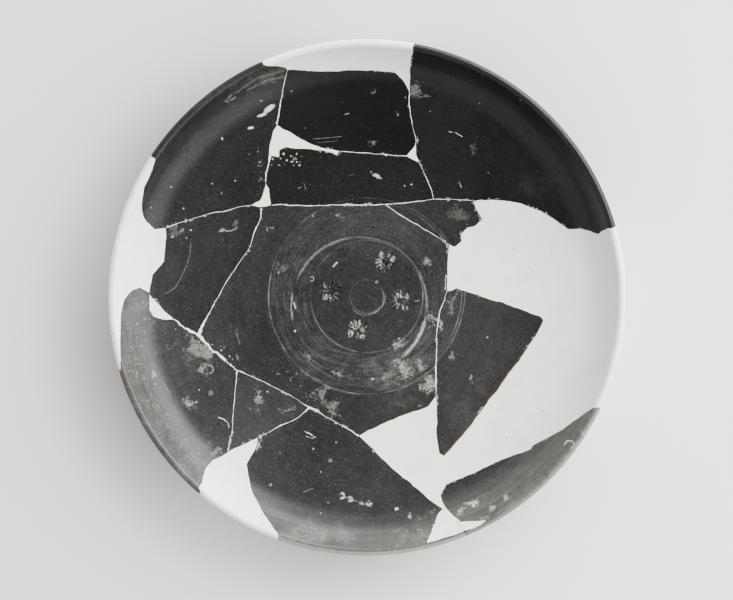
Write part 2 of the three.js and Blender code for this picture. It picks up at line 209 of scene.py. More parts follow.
@dataclass(frozen=True)
class TurnedForm:
    """The turned profile of the dish.

    It runs from the axis over the inside face, the lip, the outside face and the ring foot, back
    to the axis, so that the solid lies to its right.
    """

    rim_radius: float
    height: float
    lip_thickness: float = 4.4
    lip_lean: float = 62.0
    wall_thickness: float = 5.2
    floor_thickness: float = 6.5
    floor_radius: float = 58.0
    turn_radius: float = 118.0
    floor_rise: float = 7.5
    foot_radius: float = 40.0
    foot_width: float = 5.0
    foot_height: float = 10.0
    foot_taper: float = 1.5
    recess_depth: float = 9.0
    foot_edge: float = 0.9
    steps: int = 240

    @property
    def floor_level(self) -> float:
        """Height of the inside floor."""
        return self.foot_height + self.floor_thickness

    def lip_point(self, degrees: float) -> np.ndarray:
        """A point on the half round of the lip."""
        radius = self.lip_thickness / 2
        return np.array([self.rim_radius - radius, self.height - radius]) + on_circle(radius, degrees)

    def inside_curves(self) -> tuple[np.ndarray, np.ndarray]:
        """The rising floor and the wall, each as points from its inner end."""
        turn = np.array([self.turn_radius, self.floor_level + self.floor_rise])
        edge = np.array([self.floor_radius, self.floor_level])
        reach = (self.turn_radius - self.floor_radius) / 2
        floor_slope = self.floor_rise / reach
        lip_slope = math.tan(math.radians(self.lip_lean))
        lip_start = self.lip_point(self.lip_lean + 90)
        across, up = lip_start - turn
        shoulder = turn + np.array([1, floor_slope]) * (up - lip_slope * across) / (floor_slope - lip_slope)
        return (
            bezier(edge, edge + [reach, 0], turn, self.steps),
            bezier(turn, shoulder, lip_start, self.steps),
        )

    def inside(self) -> np.ndarray:
        """The inside face, from the axis to the lip."""
        floor = np.linspace([0, self.floor_level], [self.floor_radius, self.floor_level], self.steps)
        rising, wall = self.inside_curves()
        return np.concatenate([floor[:-1], rising[:-1], wall])

    def outside(self) -> np.ndarray:
        """The outside face, from the axis to the lip."""
        rising, wall = self.inside_curves()
        inner = np.concatenate([rising, wall[1:]])
        thick = np.concatenate([
            np.linspace(self.floor_thickness, self.wall_thickness, self.steps + 1),
            np.linspace(self.wall_thickness, self.lip_thickness, self.steps + 1)[1:],
        ])
        outer = inner - normals_of(inner) * thick[:, None]
        return np.concatenate([self.foot(), outer])

    def foot(self) -> np.ndarray:
        """The recess and the ring foot with its worn, rounded edges, from the axis outwards."""
        inner_edge = self.foot_radius - self.foot_width
        corners = np.array([
            [0, self.recess_depth],
            [inner_edge - self.foot_taper, self.recess_depth],
            [inner_edge, 0],
            [self.foot_radius, 0],
            [self.foot_radius - self.foot_taper, self.foot_height],
            [self.floor_radius, self.foot_height],
        ])
        points = [corners[0]]
        for before, corner, after in zip(corners, corners[1:], corners[2:], strict=False):
            back = (before - corner) / np.linalg.norm(before - corner)
            ahead = (after - corner) / np.linalg.norm(after - corner)
            leaving = corner + ahead * self.foot_edge
            points.extend(bezier(corner + back * self.foot_edge, corner, leaving, 6))
        return np.array(points)

    def inside_height(self, radius: np.ndarray | float) -> np.ndarray:
        """Height of the inside face at a distance from the axis."""
        face = self.inside()
        return np.interp(radius, face[:, 0], face[:, 1])


@dataclass(frozen=True)
class PictureMap:
    """How places in the picture, as [right, down], fall on the dish."""

    form: TurnedForm
    axis_right: float = 367.0
    axis_down: float = 298.8
    rim_across: float = 259.0
    rim_down: float = 257.2
    view_distance: float = 1600.0
    view_shear: float = 0.055

    def on_dish(self, place: Place) -> np.ndarray:
        """The x and y of a picture place on the inside face, in millimetres."""
        rim = self.form.rim_radius
        flat = np.array([
            (place[0] - self.axis_right) * rim / self.rim_across,
            (self.axis_down - place[1]) * rim / self.rim_down,
        ])
        spot = flat
        for _ in range(4):
            depth = self.form.height - self.form.inside_height(float(np.hypot(*spot)))
            spot = flat * (1 + depth / self.view_distance) - [0, depth * self.view_shear]
        return spot


@dataclass(frozen=True)
class Palmette:
    """One stamped palmette: petals fanned towards the axis, two volutes and a stem."""

    turn: float
    reach: float
    faded_towards: float | None = None
    petals: int = 7
    fan: float = 150.0
    petal_length: float = 5.4
    petal_width: float = 1.5
    petal_start: float = 1.3
    volute_radius: float = 1.65
    volute_offset: float = 3.2
    stem_length: float = 4.6
    shakes: tuple[tuple[float, float], ...] = ((3.4, 0.75), (1.4, 0.5))

    def leaf(self, along: np.ndarray, across: np.ndarray, length: float) -> np.ndarray:
        """How deep a leaf is pressed, from 0 to 1, at places along and across it."""
        share = np.clip(along / length, 0, 1)
        half = self.petal_width / 2 * 1.75 * share**0.6 * (1 - share) ** 0.4 + 1e-6
        inside = (along > 0) & (along < length)
        return np.where(inside, smooth_step(1.15, 0.35, np.abs(across) / half), 0)

    def depth(self, x: np.ndarray, y: np.ndarray) -> np.ndarray:
        """How deep the stamp is pressed at places on the floor, from 0 to 1."""
        flat = np.column_stack([x, y])
        for seed, (wavelength, reach) in enumerate(self.shakes):
            x = x + lattice_noise(flat, wavelength, 63 + seed) * reach
            y = y + lattice_noise(flat, wavelength, 67 + seed) * reach
        turn = math.radians(self.turn)
        centre = on_circle(self.reach, self.turn)
        inward = (centre[0] - x) * math.cos(turn) + (centre[1] - y) * math.sin(turn)
        aside = (x - centre[0]) * math.sin(turn) - (y - centre[1]) * math.cos(turn)
        deep = np.zeros_like(x)
        for angle in np.radians(np.linspace(-self.fan / 2, self.fan / 2, self.petals)):
            along = inward * math.cos(angle) + aside * math.sin(angle) - self.petal_start
            across = aside * math.cos(angle) - inward * math.sin(angle)
            length = self.petal_length * (0.75 + 0.25 * math.cos(angle))
            deep = np.maximum(deep, self.leaf(along, across, length))
        for side in (-1, 1):
            off = np.hypot(inward + 1.4 * self.volute_radius, aside - side * self.volute_offset)
            curl = smooth_step(1.15, 0.75, off / self.volute_radius)
            eye = smooth_step(0.1, 0.6, off / self.volute_radius)
            deep = np.maximum(deep, curl * (0.45 + 0.55 * eye))
        return np.maximum(deep, self.leaf(-inward - 0.4, aside, self.stem_length))

    def left_white(self, x: np.ndarray, y: np.ndarray) -> np.ndarray:
        """Share of the white deposit that is still in the stamp, from 0 to 1."""
        flat = np.column_stack([x, y])
        uneven = lattice_noise(flat, 3.6, 61) + 0.7 * lattice_noise(flat, 1.1, 62)
        uneven = smooth_step(-0.5, 0.2, uneven)
        if self.faded_towards is None:
            return uneven
        centre = on_circle(self.reach, self.turn)
        away = on_circle(1, self.faded_towards)
        off = (x - centre[0]) * away[0] + (y - centre[1]) * away[1]
        return uneven * smooth_step(2.8, 0.2, off)


@dataclass(frozen=True)
class Relief:
    """Fine relief of the inside face, as heights above the turned form."""

    form: TurnedForm
    palmettes: tuple[Palmette, ...] = (
        Palmette(62.5, 22.0),
        Palmette(172.5, 20.8, faded_towards=55.0),
        Palmette(255.0, 19.6),
        Palmette(351.5, 19.2),
    )
    centre_circle: float = 9.2
    inner_circle: float = 30.9
    outer_circle: float = 53.9
    outer_spacing: float = 1.6
    circle_strengths: tuple[float, ...] = (0.95, 0.7, 0.6, 0.8)
    clearest_towards: tuple[float, ...] = (-40.0, -70.0, 12.0, -120.0)
    clearest_reach: tuple[float, ...] = (120.0, 130.0, 62.0, 160.0)
    faintest: tuple[float, ...] = (0.4, 0.5, 0.12, 0.45)
    groove_half_width: float = 0.34
    groove_depth: float = 0.32
    second_radius: float = 10.4
    second_from: float = 215.0
    second_to: float = 320.0
    stamp_depth: float = 0.5
    band_from: float = 34.3
    band_rows: int = 8
    band_spacing: float = 2.25
    tick_length: float = 1.45
    tick_pitch: float = 1.15
    tick_depth: float = 0.12
    wheel_mark: float = 0.035
    waviness: float = 0.12

    def grooves(self) -> tuple[float, ...]:
        """Radii of the incised circles."""
        return (
            self.centre_circle,
            self.inner_circle,
            self.outer_circle - self.outer_spacing,
            self.outer_circle,
        )

    def body(self, points: np.ndarray) -> np.ndarray:
        """Slow unevenness of the hand-turned wall, the same on every piece."""
        level = np.linalg.norm(points, axis=1)
        wave = lattice_noise(points, 46, 3) * self.waviness
        ring = np.column_stack([level, np.full(len(level), 0.5)])
        marks = lattice_noise(ring, 4.5, 5) + 0.6 * lattice_noise(ring, 1.9, 6)
        return wave + marks * self.wheel_mark

    def incised(self, points: np.ndarray) -> np.ndarray:
        """How deep the incised circles are, from 0 to 1."""
        radius = np.linalg.norm(points, axis=1)
        uneven = 0.72 + 0.35 * lattice_noise(points, 17, 8) + 0.4 * lattice_noise(points, 3.5, 9)
        turn = np.degrees(np.arctan2(points[:, 1], points[:, 0])) % 360
        deep = np.zeros(len(points))
        strengths = (self.circle_strengths, self.clearest_towards, self.clearest_reach, self.faintest)
        settings = (self.grooves(), *strengths)
        for circle, strength, towards, reach, faintest in zip(*settings, strict=True):
            line = np.exp(-((radius - circle) / self.groove_half_width) ** 2)
            off = np.abs((turn - towards + 180) % 360 - 180)
            clear = faintest + (1 - faintest) * smooth_step(reach, reach * 0.4, off)
            deep = np.maximum(deep, line * strength * clear)
        arc = smooth_step(self.second_from, self.second_from + 20, turn)
        arc *= smooth_step(self.second_to, self.second_to - 20, turn)
        second = np.exp(-((radius - self.second_radius) / self.groove_half_width) ** 2)
        return np.maximum(deep, second * arc) * uneven

    def ticks(self, points: np.ndarray) -> np.ndarray:
        """How deep the rouletting is, from 0 to 1."""
        radius = np.linalg.norm(points, axis=1)
        turn = np.arctan2(points[:, 1], points[:, 0])
        row = np.floor((radius - self.band_from) / self.band_spacing + 0.5)
        middle = self.band_from + row * self.band_spacing
        inside = (row >= 0) & (row < self.band_rows)
        window = smooth_step(self.tick_length / 2, self.tick_length / 4, np.abs(radius - middle))
        count = np.floor(2 * math.pi * np.maximum(middle, 1) / self.tick_pitch)
        phase = turn * count + row * 1.7
        strokes = smooth_step(-0.1, 0.9, np.cos(phase))
        pressure = 0.5 + 0.4 * lattice_noise(points, 14, 11) + 0.4 * lattice_noise(points, 3.1, 12)
        return np.where(inside, window * strokes * np.clip(pressure, 0, 1), 0)

    def stamps(self, points: np.ndarray) -> tuple[np.ndarray, np.ndarray]:
        """How deep the palmettes are, and how much white is in them, each from 0 to 1."""
        x, y = points[:, 0], points[:, 1]
        deep = np.zeros(len(points))
        white = np.zeros(len(points))
        for palmette in self.palmettes:
            pressed = palmette.depth(x, y)
            deep = np.maximum(deep, pressed)
            white = np.maximum(white, pressed * palmette.left_white(x, y))
        return deep, white


@dataclass(frozen=True)
class Zone:
    """A stretch of the profile with its own fineness."""

    until: float
    spacing: float
    around: int


@dataclass
class TurnedDish:
    """The whole dish before it broke, as one closed mesh of rings."""

    form: TurnedForm
    relief: Relief
    network: "BreakNetwork"
    inside_zones: tuple[Zone, ...] = (
        Zone(4.0, 0.8, 96),
        Zone(12.4, 0.6, 240),
        Zone(31.0, 0.36, 480),
        Zone(55.8, 0.56, 1200),
        Zone(100.0, 1.25, 480),
        Zone(400.0, 1.15, 720),
    )
    lip_around: int = 720
    outside_zone: Zone = Zone(0.0, 1.9, 360)
    sharpest_turn: float = 14.0
    groove_offsets: tuple[float, ...] = (-0.6, -0.36, -0.18, 0.0, 0.18, 0.36, 0.6)

    def stations(
        self, line: np.ndarray, zones: tuple[Zone, ...], extra: list[float]
    ) -> list[tuple[int, int]]:
        """Chooses the points of a profile line that get a ring.

        Args:
            line: The line's points.
            zones: How fine each stretch is, by length along the line.
            extra: Lengths along the line that get a ring as well.

        Returns:
            The number of each chosen point and how many vertices its ring has.
        """
        steps = np.linalg.norm(np.diff(line, axis=0), axis=1)
        length = np.concatenate([[0], np.cumsum(steps)])
        heading = np.degrees(np.unwrap(np.arctan2(*np.gradient(line, axis=0).T[::-1])))
        wanted = {int(np.argmin(np.abs(length - spot))) for spot in extra}
        chosen = []
        last = 0
        for index in range(1, len(line)):
            zone = next(z for z in zones if length[index] <= z.until)
            far = length[index] - length[last] >= zone.spacing
            turned = abs(heading[index] - heading[last]) >= self.sharpest_turn
            if far or turned or index in wanted or index == len(line) - 1:
                chosen.append((index, zone.around))
                last = index
        return chosen

    def rings(self) -> list[tuple[np.ndarray, np.ndarray, int, Side]]:
        """Every ring as its profile point, its normal, its count of vertices and its side."""
        dense = 0.06
        inside = self.resampled(self.form.inside(), dense)
        normals = normals_of(inside)
        spots = [circle + off for circle in self.relief.grooves() for off in self.groove_offsets]
        spots += [self.relief.second_radius + off for off in self.groove_offsets]
        rings = [
            (inside[i], normals[i], around, Side.INSIDE)
            for i, around in self.stations(inside, self.inside_zones, spots)
        ]
        for degrees in np.arange(self.form.lip_lean + 75, self.form.lip_lean - 90, -15):
            point = self.form.lip_point(degrees)
            rings.append((point, on_circle(1, degrees), self.lip_around, Side.OUTSIDE))
        outside = self.resampled(self.form.outside(), dense)[::-1]
        normals = normals_of(outside)
        zones = (Zone(math.inf, self.outside_zone.spacing, self.outside_zone.around),)
        chosen = [(0, self.outside_zone.around), *self.stations(outside, zones, [])[:-1]]
        rings += [(outside[i], normals[i], around, Side.OUTSIDE) for i, around in chosen]
        return rings

    @staticmethod
    def resampled(line: np.ndarray, spacing: float) -> np.ndarray:
        """A line with points at even spacing."""
        length = np.concatenate([[0], np.cumsum(np.linalg.norm(np.diff(line, axis=0), axis=1))])
        spots = np.linspace(0, length[-1], int(length[-1] / spacing) + 1)
        return np.column_stack([np.interp(spots, length, line[:, axis]) for axis in (0, 1)])

    @staticmethod
    def stitched(inner: np.ndarray, outer: np.ndarray) -> np.ndarray:
        """Triangles between two rings that have unlike counts of vertices."""
        triangles = []
        i = j = 0
        while i < len(inner) or j < len(outer):
            if j >= len(outer) or (i < len(inner) and (i + 1) * len(outer) <= (j + 1) * len(inner)):
                triangles.append((inner[i], outer[j % len(outer)], inner[(i + 1) % len(inner)]))
                i += 1
            else:
                triangles.append((inner[i % len(inner)], outer[j], outer[(j + 1) % len(outer)]))
                j += 1
        return np.array(triangles)

    def mesh(self, name: str, plain: bool, shift: float) -> bpy.types.Mesh:
        """Builds the dish.

        Args:
            name: The mesh's name.
            plain: Leaves out the circles, rouletting and stamps, as the plaster does.
            shift: How far the dish is moved along Y.

        Returns:
            A closed mesh with the point attributes incised, ticked, white and break_off.
        """
        centre = np.array([[0, 0, self.form.floor_level]])
        points = [centre]
        masks = [np.zeros((1, 3))]
        faces = []
        before = np.array([0])
        count = 1
        for spot, normal, around, side in self.rings():
            turn = np.linspace(0, 2 * math.pi, around, endpoint=False)
            unit = np.column_stack([np.cos(turn), np.sin(turn)])
            flat = unit * spot[0]
            height = self.relief.body(flat)
            mask = np.zeros((around, 3))
            if side is Side.INSIDE:
                near_lip = smooth_step(self.form.rim_radius - 3, self.form.rim_radius - 8, spot[0])
                height *= near_lip
            else:
                height *= smooth_step(self.form.height, self.form.height - 8, spot[1])
                height *= smooth_step(0, self.form.foot_height, spot[1])
            if side is Side.INSIDE and not plain and spot[0] < self.form.floor_radius:
                deep, white = self.relief.stamps(flat)
                mask = np.column_stack([self.relief.incised(flat), self.relief.ticks(flat), white])
                height -= mask[:, 0] * self.relief.groove_depth
                height -= mask[:, 1] * self.relief.tick_depth
                height -= deep * self.relief.stamp_depth
            moved = flat + unit * (height * normal[0])[:, None]
            ring = np.column_stack([moved, spot[1] + height * normal[1]])
            points.append(ring)
            masks.append(mask)
            now = np.arange(count, count + around)
            count += around
            if len(before) == around:
                faces.append(np.column_stack([before, now, np.roll(now, -1), np.roll(before, -1)]))
            elif len(before) == 1:
                faces.append(np.column_stack([np.zeros(around, int), now, np.roll(now, -1)]))
            else:
                faces.append(self.stitched(before, now))
            before = now
        points.append(np.array([[0, 0, self.form.recess_depth]]))
        masks.append(np.zeros((1, 3)))
        faces.append(np.column_stack([before, np.full(len(before), count), np.roll(before, -1)]))
        moved = np.concatenate(points) + [0, shift, 0]
        mesh = mesh_in_metres(name, moved, faces)
        values = np.column_stack([np.concatenate(masks), self.network.off_break(moved)])
        for column, mask_name in enumerate(("incised", "ticked", "white", "break_off")):
            attribute = mesh.attributes.new(mask_name, "FLOAT", "POINT")
            attribute.data.foreach_set("value", values[:, column].astype(np.float32))
        return mesh


@dataclass
class BreakNetwork:
    """The breaks of the frame's pieces.

    Every break plane passes through one focus above the dish, so a piece is the part of the dish
    that lies in a wedge from the focus. A wedge's outline is taken where it meets the rim's level.
    """

    form: TurnedForm
    focus_rise: float = 120.0
    beyond_rim: float = 1.1
    lip_edge: float = 1.9
    step: float = 0.55
    row_height: float = 1.5
    softest_corner: float = 28.0
    edge_octaves: tuple[tuple[float, float], ...] = ((8.0, 0.45), (3.2, 0.2), (1.2, 0.06))
    depth_octaves: tuple[tuple[float, float], ...] = ((4.0, 0.22), (1.6, 0.12))
    outlines: dict[str, np.ndarray] = field(default_factory=dict)

    @property
    def focus(self) -> np.ndarray:
        """The point that every break plane passes through."""
        return np.array([0, 0, self.form.height + self.focus_rise])

    def at_rim_level(self, points: np.ndarray) -> np.ndarray:
        """Where the lines from the focus through some points cross the rim's level."""
        spread = self.focus_rise / (self.focus[2] - points[:, 2])
        return points[:, :2] * spread[:, None]

    def inner_loop(self, node: bpy.types.Object) -> np.ndarray:
        """The outline of a frame piece's inside face, at the rim's level."""
        mesh = node.data
        mesh.calc_loop_triangles()
        corners = np.empty(len(mesh.vertices) * 3, np.float32)
        mesh.vertices.foreach_get("co", corners)
        rounded = np.round(corners.reshape(-1, 3) / MM, 3)
        points, merged = np.unique(rounded, axis=0, return_inverse=True)
        triangles = np.empty(len(mesh.loop_triangles) * 3, np.int32)
        mesh.loop_triangles.foreach_get("vertices", triangles)
        triangles = merged.reshape(-1)[triangles].reshape(-1, 3)
        a, b, c = (points[triangles[:, k]] for k in range(3))
        normal = np.cross(b - a, c - a)
        normal /= np.maximum(np.linalg.norm(normal, axis=1), 1e-12)[:, None]
        sight = self.focus - (a + b + c) / 3
        sight /= np.linalg.norm(sight, axis=1)[:, None]
        seen = triangles[(normal * sight).sum(axis=1) > 0.05]
        edges = {(t[k], t[(k + 1) % 3]) for t in seen.tolist() for k in range(3)}
        onward = {start: end for start, end in edges if (end, start) not in edges}
        loops = []
        while onward:
            start, spot = onward.popitem()
            loop = [start]
            while spot != start and spot in onward:
                loop.append(spot)
                spot = onward.pop(spot)
            loops.append(self.at_rim_level(points[loop]))
        return max(loops, key=lambda loop: abs(self.area(loop)))

    @staticmethod
    def area(outline: np.ndarray) -> float:
        """Signed area of an outline."""
        after = np.roll(outline, -1, axis=0)
        return float((outline[:, 0] * after[:, 1] - outline[:, 1] * after[:, 0]).sum() / 2)

    @staticmethod
    def corners_of(outline: np.ndarray) -> np.ndarray:
        """An outline without the points that lie on its straight stretches."""
        kept = outline
        for _ in range(3):
            into = kept - np.roll(kept, 1, axis=0)
            out = np.roll(kept, -1, axis=0) - kept
            off = np.abs(into[:, 0] * out[:, 1] - into[:, 1] * out[:, 0])
            off /= np.maximum(np.linalg.norm(into, axis=1) + np.linalg.norm(out, axis=1), 1e-9)
            kept = kept[off > 0.004]
        return kept

    def past_the_rim(self, outline: np.ndarray) -> np.ndarray:
        """An outline whose stretch along the lip is moved out past the rim."""
        radius = np.linalg.norm(outline, axis=1)
        at_lip = radius > self.form.rim_radius - self.lip_edge
        if not at_lip.any() or at_lip.all():
            return outline
        first = next(i for i in range(len(outline)) if at_lip[i] and not at_lip[i - 1])
        turned = np.roll(outline, -first, axis=0)
        lip = int(np.argmin(np.roll(at_lip, -first)))
        angles = np.unwrap(np.arctan2(turned[:lip, 1], turned[:lip, 0]))
        steps = max(int(abs(angles[-1] - angles[0]) / 0.05), 1)
        sweep = np.linspace(angles[0], angles[-1], steps + 1)
        far = self.form.rim_radius * self.beyond_rim
        arc = np.column_stack([np.cos(sweep), np.sin(sweep)]) * far
        return np.concatenate([turned[:1], arc, turned[lip - 1 : lip], turned[lip:]])

    def softened(self, outline: np.ndarray) -> np.ndarray:
        """An outline whose gentle bends are rounded and whose sharp corners stay."""
        into = outline - np.roll(outline, 1, axis=0)
        out = np.roll(outline, -1, axis=0) - outline
        cross = into[:, 0] * out[:, 1] - into[:, 1] * out[:, 0]
        bend = np.degrees(np.abs(np.arctan2(cross, (into * out).sum(axis=1))))
        points = []
        for spot, back, ahead, angle in zip(outline, into, out, bend, strict=True):
            if angle < self.softest_corner:
                points += [spot - back * 0.25, spot + ahead * 0.25]
            else:
                points.append(spot)
        return np.array(points)

    def jagged(self, points: np.ndarray, octaves: tuple[tuple[float, float], ...]) -> np.ndarray:
        """Points moved sideways by noise that depends only on where they are."""
        moved = points[:, :2].copy()
        for seed, (wavelength, reach) in enumerate(octaves):
            moved[:, 0] += lattice_noise(points, wavelength, 20 + seed) * reach
            moved[:, 1] += lattice_noise(points, wavelength, 40 + seed) * reach
        return moved

    def outline(self, name: str) -> np.ndarray:
        """The fine outline of a piece at the rim's level, counter-clockwise."""
        if name not in self.outlines:
            loop = self.corners_of(self.inner_loop(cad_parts[name]))
            loop = self.softened(self.past_the_rim(loop))
            if self.area(loop) < 0:
                loop = loop[::-1]
            closed = np.concatenate([loop, loop[:1]])
            gaps = np.linalg.norm(np.diff(closed, axis=0), axis=1)
            parts = []
            for start, end, gap in zip(closed, closed[1:], gaps, strict=False):
                count = max(round(gap / self.step), 1)
                parts.append(np.linspace(start, end, count, endpoint=False))
            self.outlines[name] = self.jagged(np.concatenate(parts), self.edge_octaves)
        return self.outlines[name]

    def off_break(self, points: np.ndarray) -> np.ndarray:
        """How far points of the dish are from the nearest break, in millimetres."""
        names = sorted(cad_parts)
        lines = np.concatenate([self.outline(name) for name in names])
        tree = kdtree.KDTree(len(lines))
        for number, (x, y) in enumerate(lines):
            tree.insert((x, y, 0), number)
        tree.balance()
        return np.array([tree.find((x, y, 0))[2] for x, y in self.at_rim_level(points)])

    def wedge(self, name: str) -> bpy.types.Mesh:
        """The wedge from the focus that a piece fills, with rough sides."""
        low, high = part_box(name)
        bottom, top = low[2] / MM - 2.2, high[2] / MM + 2.2
        levels = np.linspace(bottom, top, max(round((top - bottom) / self.row_height), 2) + 1)
        outline = self.outline(name)
        rows = []
        for level in levels:
            spread = (self.focus[2] - level) / self.focus_rise
            flat = np.column_stack([outline * spread, np.full(len(outline), level)])
            rows.append(np.column_stack([self.jagged(flat, self.depth_octaves), flat[:, 2]]))
        across = len(outline)
        faces = [
            tube_faces(len(levels), across)[:, ::-1],
            np.arange(across)[::-1],
            np.arange(across) + across * (len(levels) - 1),
        ]
        return mesh_in_metres(f"wedge_{name}", np.concatenate(rows), faces)

    def cut(self, name: str, dish: bpy.types.Object, wall: bpy.types.Material) -> bpy.types.Mesh:
        """Cuts one piece out of the dish.

        Args:
            name: The frame piece to cut.
            dish: The whole dish.
            wall: The material of the break faces.

        Returns:
            The piece's mesh.
        """
        wedge = bpy.data.objects.new(f"wedge_{name}", self.wedge(name))
        wedge.data.materials.append(wall)
        bpy.context.collection.objects.link(wedge)
        cutter = dish.modifiers.new("break", "BOOLEAN")
        cutter.operation = "INTERSECT"
        cutter.solver = "MANIFOLD"
        cutter.material_mode = "TRANSFER"
        cutter.object = wedge
        graph = bpy.context.evaluated_depsgraph_get()
        mesh = bpy.data.meshes.new_from_object(
            dish.evaluated_get(graph), preserve_all_data_layers=True, depsgraph=graph
        )
        dish.modifiers.remove(cutter)
        bpy.data.objects.remove(wedge)
        largest_island(mesh)
        return mesh


class ShaderTree:
    """Adds and links the nodes of one material or node group."""

    def __init__(self, tree: bpy.types.NodeTree) -> None:
        """Starts on a tree, which is emptied."""
        self.tree = tree
        tree.nodes.clear()

    def add(self, kind: str, inputs: dict | None = None, **settings: object) -> bpy.types.Node:
        """Adds a node.

        Args:
            kind: The node's type, without its ShaderNode prefix.
            inputs: Sockets to link from, or plain values, by the input's name or number.
            settings: Properties of the node.

        Returns:
            The node.
        """
        node = self.tree.nodes.new(f"ShaderNode{kind}")
        for key, value in settings.items():
            setattr(node, key, value)
        for key, value in (inputs or {}).items():
            self.feed(node.inputs[key], value)
        return node

    def feed(self, socket: bpy.types.NodeSocket, value: object) -> None:
        """Links a socket to an input, or sets the input's plain value."""
        if isinstance(value, bpy.types.NodeSocket):
            self.tree.links.new(value, socket)
        elif hasattr(socket.default_value, "__len__") and not hasattr(value, "__len__"):
            socket.default_value = [value] * 3 + [1.0] * (len(socket.default_value) - 3)
        elif hasattr(value, "__len__"):
            socket.default_value = [*value, 1.0][: len(socket.default_value)]
        else:
            socket.default_value = value

    def math(self, operation: str, *values: object, clamp: bool = False) -> bpy.types.NodeSocket:
        """The result of a Math node."""
        node = self.add("Math", dict(enumerate(values)), operation=operation, use_clamp=clamp)
        return node.outputs[0]

    def times(self, value: object, other: object, clamp: bool = False) -> bpy.types.NodeSocket:
        """The product of two values."""
        return self.math("MULTIPLY", value, other, clamp=clamp)

    def vector(self, operation: str, *values: object) -> bpy.types.NodeSocket:
        """The vector result of a Vector Math node."""
        return self.add("VectorMath", dict(enumerate(values)), operation=operation).outputs["Vector"]

    def measure(self, operation: str, *values: object) -> bpy.types.NodeSocket:
        """The number that a Vector Math node gives."""
        return self.add("VectorMath", dict(enumerate(values)), operation=operation).outputs["Value"]

    def fade(self, value: object, low: object, high: object) -> bpy.types.NodeSocket:
        """Rises smoothly from 0 at low to 1 at high; low may be the greater of the two."""
        inputs = {"Value": value, "From Min": low, "From Max": high}
        return self.add("MapRange", inputs, interpolation_type="SMOOTHSTEP").outputs["Result"]

    def noise(
        self, place: object, scale: float, detail: float = 3.0, **extra: float
    ) -> bpy.types.NodeSocket:
        """Noise between 0 and 1 at a place."""
        inputs = {"Vector": place, "Scale": scale, "Detail": detail, **extra}
        return self.add("TexNoise", inputs).outputs["Fac"]

    def blend(self, share: object, first: object, second: object) -> bpy.types.NodeSocket:
        """A colour between two."""
        node = self.add("Mix", data_type="RGBA")
        self.feed(node.inputs["Factor"], share)
        self.feed(node.inputs[6], first)
        self.feed(node.inputs[7], second)
        return node.outputs[2]

    def most(self, masks: list[bpy.types.NodeSocket]) -> bpy.types.NodeSocket | float:
        """The greatest of some masks, or 0 if there are none."""
        if not masks:
            return 0.0
        result = masks[0]
        for mask in masks[1:]:
            result = self.math("MAXIMUM", result, mask)
        return result

    def place(self) -> bpy.types.NodeSocket:
        """Places on the piece, in metres."""
        return self.add("TexCoord").outputs["Object"]

    def group(self, tree: bpy.types.NodeTree, inputs: dict) -> bpy.types.Node:
        """Places a node group."""
        node = self.tree.nodes.new("ShaderNodeGroup")
        node.node_tree = tree
        for key, value in inputs.items():
            self.feed(node.inputs[key], value)
        return node


class GroupTree(ShaderTree):
    """A node group with named inputs and outputs."""

    def __init__(self, name: str, inputs: dict[str, str], outputs: dict[str, str]) -> None:
        """Makes the group and its sockets, which are Float, Vector or Color."""
        super().__init__(bpy.data.node_groups.new(name, "ShaderNodeTree"))
        for direction, sockets in (("INPUT", inputs), ("OUTPUT", outputs)):
            for socket, kind in sockets.items():
                self.tree.interface.new_socket(socket, in_out=direction, socket_type=f"NodeSocket{kind}")
        self.given = self.tree.nodes.new("NodeGroupInput").outputs
        self.result = self.tree.nodes.new("NodeGroupOutput").inputs


